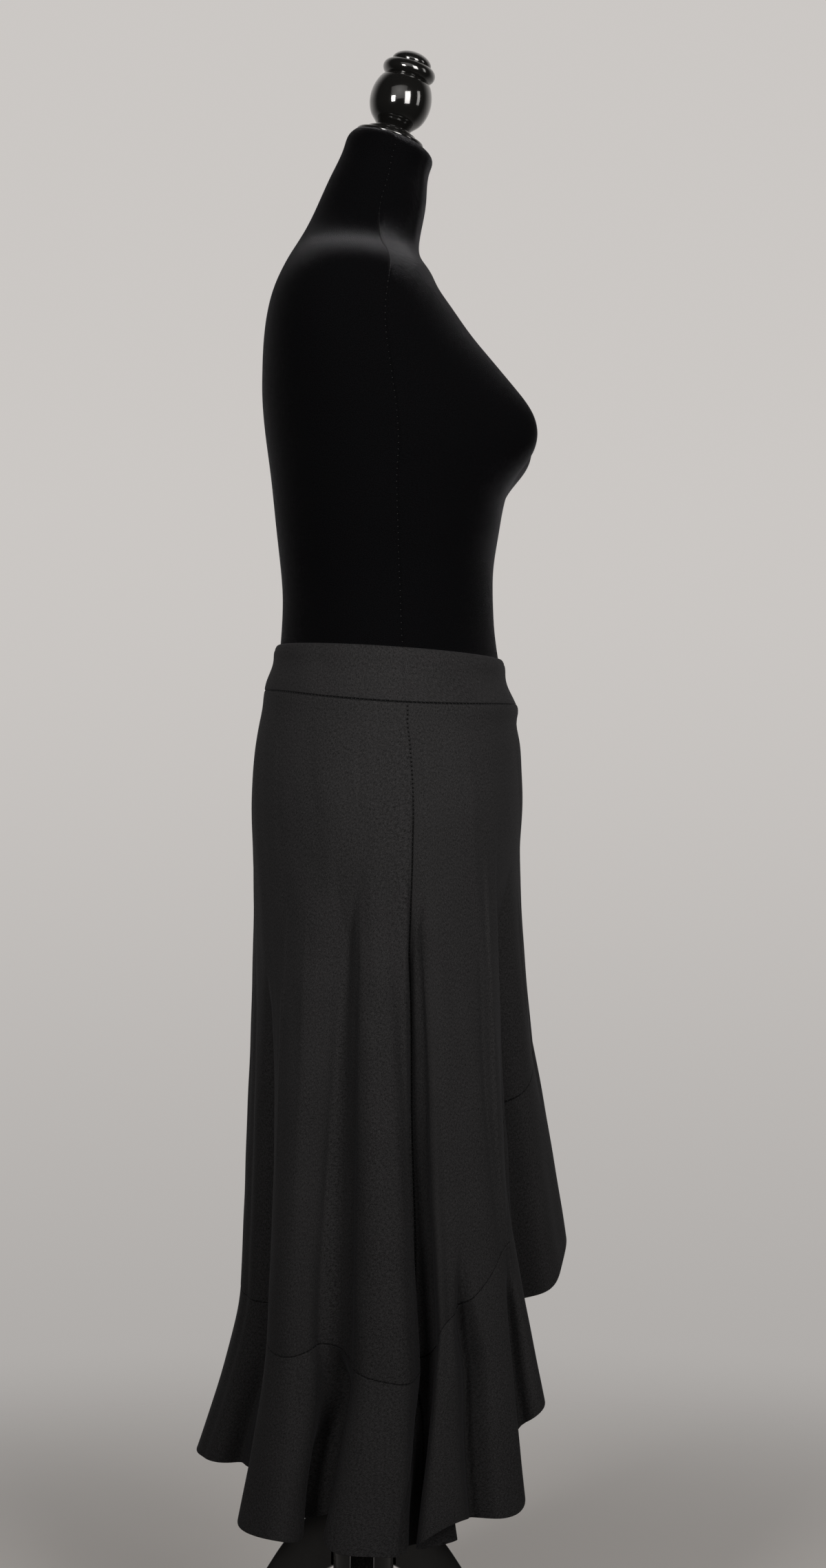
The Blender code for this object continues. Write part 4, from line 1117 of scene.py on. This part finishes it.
def build_legs():
    """Three curved boards with eased edges, each a copy of one outline turned about the pole."""
    first, last = LEG_STATIONS[0][0], LEG_STATIONS[-1][0]
    reaches = np.unique([*np.linspace(first, last, 45), first + 0.001])
    lows, highs = section_curve(LEG_STATIONS)(reaches)
    lows = np.maximum(lows, 0.0)
    stations = [(reach, low, high, 0.0) for reach, low, high in zip(reaches[:-1], lows, highs)]
    for angle in np.radians((0.0, 30.0, 60.0, 90.0)):
        reach = last - LEG_EASE + LEG_EASE * math.sin(angle)
        if reach > reaches[-2]:
            stations.append((reach, lows[-1], highs[-1], LEG_EASE * (1 - math.cos(angle))))
    points, rings = [], []
    for reach, low, high, inset in stations:
        wide, bottom, top = LEG_THICK / 2 - inset - LEG_EASE, low + LEG_EASE, high - inset - LEG_EASE
        start = len(points)
        corners = ((wide, top), (-wide, top), (-wide, bottom), (wide, bottom))
        for corner, (across, up) in enumerate(corners):
            for angle in np.radians(90.0 * corner + np.linspace(0.0, 90.0, 5)):
                points.append((across + LEG_EASE * math.cos(angle), -reach, up + LEG_EASE * math.sin(angle)))
        rings.append(list(range(start, len(points))))
    lacquer = lacquer_material()
    made = []
    for name, turn in LEG_TURNS.items():
        leg = add_mesh(f"{name}_wood", points, tube_faces(rings, capped=True), lacquer, sharp=40.0)
        leg.rotation_euler = (0.0, 0.0, -math.radians(turn))
        made.append((name, leg))
    return made


# Materials


def set_inputs(tree, made, values):
    """Sets a node's inputs. A socket is linked, and anything else is the input's value."""
    for name, value in dict(values).items():
        if isinstance(value, bpy.types.NodeSocket):
            tree.links.new(value, made.inputs[name])
        else:
            made.inputs[name].default_value = value
    return made


def node(tree, kind, settings=(), inputs=()):
    """A shader node with its settings and its inputs."""
    made = tree.nodes.new(kind)
    for name, value in dict(settings).items():
        setattr(made, name, value)
    return set_inputs(tree, made, inputs)


def maths(tree, operation, *values):
    """What a Math node makes of sockets or numbers."""
    return node(tree, "ShaderNodeMath", {"operation": operation}, dict(enumerate(values))).outputs[0]


def mapped(tree, value, start=0.0, end=1.0, low=0.0, high=1.0, smooth=False):
    """A value carried over from one range to another, and held at its ends."""
    settings = {"interpolation_type": "SMOOTHSTEP"} if smooth else {}
    inputs = {"Value": value, "From Min": start, "From Max": end, "To Min": low, "To Max": high}
    return node(tree, "ShaderNodeMapRange", settings, inputs).outputs[0]


def noise(tree, place_of, **inputs):
    """Noise over a surface."""
    return node(tree, "ShaderNodeTexNoise", inputs={"Vector": place_of, **inputs}).outputs["Fac"]


def mix_colour(tree, mask, first, second):
    """A colour between two, each a socket or a colour, by a mask."""
    first, second = (c if isinstance(c, bpy.types.NodeSocket) else (*c, 1.0) for c in (first, second))
    return node(tree, "ShaderNodeMix", {"data_type": "RGBA"}, {0: mask, 6: first, 7: second}).outputs[2]


def mix_value(tree, mask, first, second):
    """A value between two, by a mask."""
    return node(tree, "ShaderNodeMix", {"data_type": "FLOAT"}, {0: mask, 2: first, 3: second}).outputs[0]


def times(colour, factor):
    """A colour made darker or lighter."""
    return [channel * factor for channel in colour]


def bump(tree, height, distance, strength):
    """The normal of a surface with a height."""
    inputs = {"Height": height, "Distance": distance, "Strength": strength}
    return node(tree, "ShaderNodeBump", (), inputs).outputs[0]


def object_place(tree):
    """Where a point of the surface is on its own object."""
    return node(tree, "ShaderNodeTexCoord").outputs["Object"]


def group_tree(name, inputs, outputs):
    """A shader group that puts out values, with its two ends, which are None if it is there already.

    An input whose default is None is a place.
    """
    made = bpy.data.node_groups.get(name)
    if made:
        return made, None, None
    made = bpy.data.node_groups.new(name, "ShaderNodeTree")
    for socket, value in inputs.items():
        kind = "NodeSocketVector" if value is None else "NodeSocketFloat"
        new = made.interface.new_socket(name=socket, in_out="INPUT", socket_type=kind)
        if value is not None:
            new.default_value = value
    for socket in outputs:
        made.interface.new_socket(name=socket, in_out="OUTPUT", socket_type="NodeSocketFloat")
    return made, made.nodes.new("NodeGroupInput"), made.nodes.new("NodeGroupOutput")


def placed_group(tree, group, values):
    """The outputs of a group placed with its own values."""
    return node(tree, "ShaderNodeGroup", {"node_tree": group}, values).outputs


def cloth_grain_group():
    """Crinkled yarn: fine pebbles crossed by faint ribs, clusters of them, and broad unevenness of tone."""
    tree, given, made = group_tree(
        "cloth_grain",
        {"Flat place": None, "Grain": 0.0009, "Rib share": 0.35},
        ("Height", "Fleck", "Cluster", "Tone"),
    )
    if given is None:
        return tree
    flat, size = given.outputs["Flat place"], maths(tree, "DIVIDE", 1.0, given.outputs["Grain"])
    scaled = node(tree, "ShaderNodeVectorMath", {"operation": "SCALE"}, {0: flat, "Scale": size}).outputs[0]
    ribbed = node(tree, "ShaderNodeVectorMath", {"operation": "MULTIPLY"}, {0: scaled, 1: (1.7, 0.28, 1.0)})
    pebbles = noise(tree, scaled, Scale=1.0, Detail=3.0, Roughness=0.6)
    ribs = noise(tree, ribbed.outputs[0], Scale=1.0, Detail=1.0, Roughness=0.5)
    height = mix_value(tree, given.outputs["Rib share"], pebbles, ribs)
    clusters = noise(tree, scaled, Scale=0.42, Detail=2.0, Roughness=0.7)
    set_inputs(tree, made, {
        "Height": height,
        "Fleck": mapped(tree, height, 0.36, 0.66),
        "Cluster": mapped(tree, clusters, 0.34, 0.66),
        "Tone": noise(tree, flat, Scale=14.0, Detail=4.0, Roughness=0.55),
    })
    return tree


def painted_seam_shade_group():
    """Painted shade in the gap between the cloths at a seam, left out between the stitches where they show
    apart.
    """
    tree, given, made = group_tree("painted_seam_shade", {"Seam": None, "Pitch": 0.004}, ("Painted shade",))
    if given is None:
        return tree
    seam = node(tree, "ShaderNodeSeparateXYZ", (), {0: given.outputs["Seam"]}).outputs
    near = mapped(tree, seam["X"], 0.06, 0.34, smooth=True)
    turns = maths(tree, "DIVIDE", seam["Y"], given.outputs["Pitch"])
    wave = maths(tree, "COSINE", maths(tree, "MULTIPLY", turns, 2 * math.pi))
    hole = mapped(tree, wave, -0.2, 0.7, smooth=True)
    closed = maths(tree, "MULTIPLY", seam["Z"], maths(tree, "SUBTRACT", 1.0, hole))
    # A mask for painted shade: dark where the cloth turns under at a seam, except between stitches that show
    # apart
    gap = maths(tree, "MULTIPLY", near, maths(tree, "SUBTRACT", 1.0, closed))
    set_inputs(tree, made, {"Painted shade": maths(tree, "MULTIPLY", gap, 0.92)})
    return tree


def handling_group():
    """What handling leaves on a smooth finish: smudges, fine dust on faces turned up, and gentle ripples."""
    tree, given, made = group_tree(
        "handling", {"Place": None, "Smudge size": 0.03}, ("Smudge", "Dust", "Ripple")
    )
    if given is None:
        return tree
    place_of, size = given.outputs["Place"], maths(tree, "DIVIDE", 1.0, given.outputs["Smudge size"])
    smudge = noise(tree, place_of, Scale=size, Detail=5.0, Roughness=0.6, Distortion=0.6)
    normal = node(tree, "ShaderNodeNewGeometry").outputs["Normal"]
    upward = mapped(tree, node(tree, "ShaderNodeSeparateXYZ", (), {0: normal}).outputs["Z"], 0.35, 1.0)
    specks = mapped(tree, noise(tree, place_of, Scale=900.0, Detail=2.0), 0.55, 0.72)
    set_inputs(tree, made, {
        "Smudge": mapped(tree, smudge, 0.42, 0.72),
        "Dust": maths(tree, "MULTIPLY", upward, specks),
        "Ripple": noise(tree, place_of, Scale=55.0, Detail=1.0),
    })
    return tree


def principled(name, constants, look):
    """A material, made once, with the constants of its shader and the inputs that its look feeds."""
    made = bpy.data.materials.get(name)
    if made:
        return made
    made = bpy.data.materials.new(name)
    made.use_nodes = True
    tree = made.node_tree
    set_inputs(tree, tree.nodes["Principled BSDF"], {**constants, **look(tree)})
    return made


def crepe_material():
    """Matt black crepe."""
    sizes = bpy.context.scene.skirt_cloth

    def look(tree):
        flat = node(tree, "ShaderNodeUVMap", {"uv_map": "cloth"}).outputs[0]
        grain = placed_group(
            tree, cloth_grain_group(), {"Flat place": flat, "Grain": sizes.grain, "Rib share": 0.38}
        )
        parts = [maths(tree, "MULTIPLY", grain[name], share) for name, share in CREPE_MARKS.items()]
        marks = maths(tree, "ADD", maths(tree, "ADD", *parts[:2]), parts[2])
        cloth = mix_colour(
            tree, mapped(tree, marks, 0.16, 0.84), times(sizes.colour, 0.26), times(sizes.colour, 1.50)
        )
        # The gap at each seam is painted near black: painted shade where the two layers meet
        seam = node(tree, "ShaderNodeAttribute", {"attribute_name": "seam"}).outputs["Vector"]
        gap = placed_group(tree, painted_seam_shade_group(), {"Seam": seam, "Pitch": sizes.stitch_pitch})["Painted shade"]
        return {
            "Base Color": mix_colour(tree, gap, cloth, SEAM_SHADE),
            "Roughness": mapped(tree, grain["Tone"], low=0.74, high=0.90),
            "Normal": bump(tree, grain["Height"], 0.0006, 0.7),
        }

    constants = {
        "Specular IOR Level": 0.06, "Sheen Weight": 0.025, "Sheen Roughness": 0.45,
        "Sheen Tint": (0.9, 0.9, 1.0, 1.0),
    }
    return principled("matt_crepe", constants, look)


def thread_material(name, colour):
    """Sewing thread."""

    def look(tree):
        grain = placed_group(
            tree, cloth_grain_group(), {"Flat place": object_place(tree), "Grain": 0.00025, "Rib share": 0.2}
        )
        return {
            "Base Color": mix_colour(tree, grain["Fleck"], times(colour, 0.75), times(colour, 1.25)),
            "Roughness": mapped(tree, grain["Tone"], low=0.55, high=0.7),
            "Normal": bump(tree, grain["Height"], 0.0001, 0.4),
        }

    return principled(name, {"Specular IOR Level": 0.35, "Sheen Weight": 0.1}, look)


def velvet_material():
    """Black velvet, whose nap catches the light at a glance."""
    nap, colour = bpy.context.scene.skirt_form.nap, bpy.context.scene.skirt_form.colour

    def look(tree):
        flat = node(tree, "ShaderNodeUVMap", {"uv_map": "cloth"}).outputs[0]
        grain = placed_group(
            tree, cloth_grain_group(), {"Flat place": flat, "Grain": nap, "Rib share": 0.15}
        )
        return {
            "Base Color": mix_colour(tree, grain["Fleck"], times(colour, 0.6), times(colour, 1.5)),
            "Roughness": mapped(tree, grain["Tone"], low=0.82, high=0.96),
            "Normal": bump(tree, grain["Height"], 0.0009, 0.8),
        }

    constants = {
        "Specular IOR Level": 0.02, "Sheen Weight": 0.13, "Sheen Roughness": 0.25,
        "Sheen Tint": (0.86, 0.86, 0.92, 1.0),
    }
    return principled("napped_velvet", constants, look)


def lacquer_material():
    """Black lacquered wood, a little handled."""
    colour = bpy.context.scene.skirt_form.lacquer

    def look(tree):
        used = placed_group(tree, handling_group(), {"Place": object_place(tree), "Smudge size": 0.035})
        return {
            "Base Color": mix_colour(tree, used["Dust"], colour, DUST_COLOUR),
            "Roughness": mapped(tree, used["Smudge"], low=0.10, high=0.17),
            "Coat Weight": mapped(tree, used["Smudge"], low=1.0, high=0.7),
            "Normal": bump(tree, used["Ripple"], 0.00012, 0.25),
        }

    constants = {"Specular IOR Level": 0.5, "Coat Roughness": 0.03, "Coat IOR": 1.5}
    return principled("gloss_lacquer", constants, look)


def steel_material():
    """Black powder-coated steel."""
    colour = bpy.context.scene.skirt_form.steel

    def look(tree):
        place_of = object_place(tree)
        used = placed_group(tree, handling_group(), {"Place": place_of, "Smudge size": 0.02})
        return {
            "Base Color": mix_colour(tree, used["Smudge"], colour, times(colour, 1.5)),
            "Roughness": mapped(tree, used["Smudge"], low=0.30, high=0.45),
            "Normal": bump(tree, noise(tree, place_of, Scale=700.0, Detail=2.0), 0.0002, 0.3),
        }

    return principled("coated_steel", {"Specular IOR Level": 0.5}, look)


# The studio


def floor_material(colour):
    """A pale floor that fades out towards its edge."""

    def look(tree):
        place_of = object_place(tree)
        clouds = noise(tree, place_of, Scale=1.6, Detail=4.0)
        shown = mix_colour(tree, clouds, times(colour, 0.96), times(colour, 1.04))
        # The floor throws back less light than it shows, as a darker one in a bigger room would
        seen = node(tree, "ShaderNodeLightPath").outputs["Is Camera Ray"]
        distance = node(tree, "ShaderNodeVectorMath", {"operation": "LENGTH"}, {0: place_of}).outputs["Value"]
        return {
            "Base Color": mix_colour(tree, seen, times(colour, 0.3), shown),
            "Alpha": mapped(tree, distance, *FLOOR_FADE, 1.0, 0.0, smooth=True),
        }

    return principled("studio_floor", {"Specular IOR Level": 0.2, "Roughness": 0.75}, look)


def build_softbox(name, at, size, power):
    """One soft light, out of the camera's sight."""
    lamp = bpy.data.lights.new(name, "AREA")
    lamp.shape = "RECTANGLE"
    lamp.size, lamp.size_y = size
    lamp.energy = power
    lamp.color = SOFTBOX_COLOUR
    lamp.spread = math.radians(SOFTBOX_SPREAD)
    made = bpy.data.objects.new(name, lamp)
    made.location = at
    made.rotation_mode = "QUATERNION"
    made.rotation_quaternion = (Vector(SOFTBOX_TARGET) - Vector(at)).to_track_quat("-Z", "Y")
    made.visible_camera = False
    bpy.context.scene.collection.objects.link(made)


def build_air(settings):
    """The light from all round: pale paper behind the form, and a dim room on the camera's side."""
    world = bpy.data.worlds.new("studio_air")
    world.use_nodes = True
    sky = world.node_tree
    facing = node(sky, "ShaderNodeTexCoord").outputs["Generated"]
    facing = node(sky, "ShaderNodeSeparateXYZ", (), {0: facing}).outputs
    seen = node(sky, "ShaderNodeLightPath").outputs
    climb = mapped(sky, facing["Z"], -0.35, 0.12, smooth=True)
    paper = mapped(sky, seen["Is Glossy Ray"], low=settings.paper_strength, high=1.0)
    behind = mapped(sky, facing["X"], 0.05, 0.7, settings.room_strength, paper, smooth=True)
    set_inputs(sky, sky.nodes["Background"], {
        "Color": mix_colour(sky, climb, times(settings.air_colour, 0.62), settings.air_colour),
        "Strength": mix_value(sky, seen["Is Camera Ray"], behind, 1.0),
    })
    return world


def build_studio(context):
    """The floor, the light and the camera."""
    settings = context.scene.skirt_studio
    radii = [FLOOR_RADIUS * (ring_index / 40) ** 1.4 for ring_index in range(41)]
    profile = straight(*((-FLOOR_DROP, radius) for radius in radii))
    lathe("studio_floor", profile, floor_material(settings.floor_colour), sides=96)
    for name, (at, size, power) in SOFTBOXES.items():
        build_softbox(name, at, size, power * settings.light_strength)
    context.scene.world = build_air(settings)
    context.scene.view_settings.view_transform = "Standard"
    camera = bpy.data.objects.new("camera", bpy.data.cameras.new("camera"))
    bpy.context.scene.collection.objects.link(camera)
    camera.location = CAMERA_AT
    camera.rotation_euler = (math.pi / 2, 0.0, -math.pi / 2)
    camera.data.angle = 2 * math.atan(PICTURE_HEIGHT / 2 / abs(CAMERA_AT[0]))
    context.scene.camera = camera


# Settings, operators and panel


def length_setting(name, description, default, low, high):
    """A length that a user can change."""
    return bpy.props.FloatProperty(
        name=name, description=description, default=default, min=low, max=high, unit="LENGTH", precision=5
    )


def colour_setting(name, description, default):
    """A colour that a user can change."""
    return bpy.props.FloatVectorProperty(
        name=name, description=description, default=default, subtype="COLOR", size=3, min=0.0, max=1.0
    )


def strength_setting(name, description, default):
    """A strength of light that a user can change."""
    return bpy.props.FloatProperty(name=name, description=description, default=default, min=0.0, max=10.0)


class SkirtClothSettings(bpy.types.PropertyGroup):
    """Sizes and colours of the cloth."""

    gauge: length_setting("Cloth gauge", "Thickness of one layer of the crepe", 0.0012, 0.0006, 0.0018)
    band_gauge: length_setting("Band gauge", "Thickness of the doubled waistband", 0.0028, 0.0015, 0.0030)
    seam_roll: length_setting("Seam roll", "How deep the cloth turns under at a seam", 0.0011, 0.0, 0.0012)
    seam_reach: length_setting("Seam reach", "How far from a seam the cloth rolls", 0.0026, 0.001, 0.006)
    stitch_pitch: length_setting("Stitch pitch", "Distance between stitches at a seam", 0.0044, 0.002, 0.01)
    thread_radius: length_setting("Thread radius", "Half the thread's thickness", 0.00018, 0.0001, 0.0005)
    grain: length_setting("Grain", "Size of the crepe's pebbles", 0.00095, 0.0003, 0.003)
    colour: colour_setting("Crepe", "Colour of the crepe", (0.0190, 0.0186, 0.0192))
    thread_colour: colour_setting("Thread", "Colour of the sewing thread", (0.020, 0.020, 0.021))


class SkirtFormSettings(bpy.types.PropertyGroup):
    """Sizes and colours of the dress form and its stand."""

    nap: length_setting("Nap", "Size of the velvet's nap", 0.0011, 0.0003, 0.003)
    seam_depth: length_setting("Seam depth", "How deep the cover's side seams lie", 0.0009, 0.0, 0.002)
    stitch_pitch: length_setting("Stitch pitch", "Distance between the cover's stitches", 0.0065, 0.003, 0.02)
    colour: colour_setting("Velvet", "Colour of the velvet", (0.0017, 0.0017, 0.0020))
    thread_colour: colour_setting("Cover thread", "Colour of the thread in the cover", (0.035, 0.035, 0.035))
    lacquer: colour_setting("Lacquer", "Colour of the lacquered wood", (0.0045, 0.0044, 0.0042))
    steel: colour_setting("Steel", "Colour of the coated steel", (0.024, 0.024, 0.026))


class SkirtStudioSettings(bpy.types.PropertyGroup):
    """Light and floor."""

    light_strength: strength_setting("Light strength", "Strength of the soft lights", 1.0)
    paper_strength: strength_setting("Paper strength", "Strength of the light from behind the form", 0.60)
    room_strength: strength_setting("Room strength", "Strength of the light from the camera's side", 0.04)
    air_colour: colour_setting("Air", "Colour of the light from all round", (0.60, 0.575, 0.555))
    floor_colour: colour_setting("Floor", "Colour of the floor", (0.90, 0.875, 0.85))


class SKIRT_OT_make_cloth(bpy.types.Operator):
    """Make the waistband, the skirt panels, the ruffle and their stitches"""

    bl_idname = "skirt.make_cloth"
    bl_label = "Make the skirt"

    def execute(self, context):
        cloth, panels = build_panels(context)
        band, halves = build_band(context)
        for solid, piece in panels + halves:
            settle(piece, "crepe", solid)
        settle(build_stitches(context, cloth, band), "crepe")
        return {"FINISHED"}


class SKIRT_OT_make_cover(bpy.types.Operator):
    """Make the form's velvet cover and the stitches in its side seams"""

    bl_idname = "skirt.make_cover"
    bl_label = "Make the form's cover"

    def execute(self, context):
        cover, stitches = build_cover(context)
        settle(cover, "velvet", "form_torso")
        settle(stitches, "velvet")
        return {"FINISHED"}


class SKIRT_OT_make_neck_wood(bpy.types.Operator):
    """Make the neck's cap and finial"""

    bl_idname = "skirt.make_neck_wood"
    bl_label = "Make the neck's wood"

    def execute(self, context):
        cap, finial = build_neck_wood()
        settle(cap, "lacquer", "neck_cap")
        settle(finial, "lacquer", "neck_finial")
        return {"FINISHED"}


class SKIRT_OT_make_pole(bpy.types.Operator):
    """Make the socket, the pole and the hub"""

    bl_idname = "skirt.make_pole"
    bl_label = "Make the pole"

    def execute(self, context):
        socket, pole, hub = build_pole()
        settle(socket, "steel", "form_socket")
        settle(pole, "steel", "pole")
        settle(hub, "lacquer", "stand_hub")
        return {"FINISHED"}


class SKIRT_OT_make_legs(bpy.types.Operator):
    """Make the three legs"""

    bl_idname = "skirt.make_legs"
    bl_label = "Make the legs"

    def execute(self, context):
        for solid, leg in build_legs():
            settle(leg, "lacquer", solid)
        return {"FINISHED"}


class SKIRT_OT_make_studio(bpy.types.Operator):
    """Make the floor, the lights and the camera"""

    bl_idname = "skirt.make_studio"
    bl_label = "Make the studio"

    def execute(self, context):
        build_studio(context)
        return {"FINISHED"}


OPERATORS = (
    SKIRT_OT_make_cover,
    SKIRT_OT_make_cloth,
    SKIRT_OT_make_neck_wood,
    SKIRT_OT_make_pole,
    SKIRT_OT_make_legs,
    SKIRT_OT_make_studio,
)
SETTINGS = {
    "skirt_cloth": SkirtClothSettings,
    "skirt_form": SkirtFormSettings,
    "skirt_studio": SkirtStudioSettings,
}


class SKIRT_PT_pieces(bpy.types.Panel):
    """Lists the settings and the pieces"""

    bl_label = "Asymmetric skirt"
    bl_idname = "SKIRT_PT_pieces"
    bl_space_type = "VIEW_3D"
    bl_region_type = "UI"
    bl_category = "Skirt"

    def draw(self, context):
        for group in SETTINGS:
            box = self.layout.box()
            settings = getattr(context.scene, group)
            for name in settings.__annotations__:
                box.prop(settings, name)
        for operator in OPERATORS:
            self.layout.operator(operator.bl_idname)


def register():
    for group, kind in SETTINGS.items():
        bpy.utils.register_class(kind)
        setattr(bpy.types.Scene, group, bpy.props.PointerProperty(type=kind))
    for kind in (*OPERATORS, SKIRT_PT_pieces):
        bpy.utils.register_class(kind)


def unregister():
    for kind in (SKIRT_PT_pieces, *reversed(OPERATORS)):
        bpy.utils.unregister_class(kind)
    for group, kind in SETTINGS.items():
        delattr(bpy.types.Scene, group)
        bpy.utils.unregister_class(kind)


def main():
    register()
    bpy.ops.skirt.make_cover()
    bpy.ops.skirt.make_cloth()
    bpy.ops.skirt.make_neck_wood()
    bpy.ops.skirt.make_pole()
    bpy.ops.skirt.make_legs()
    bpy.ops.skirt.make_studio()


if __name__ == "__main__":
    main()
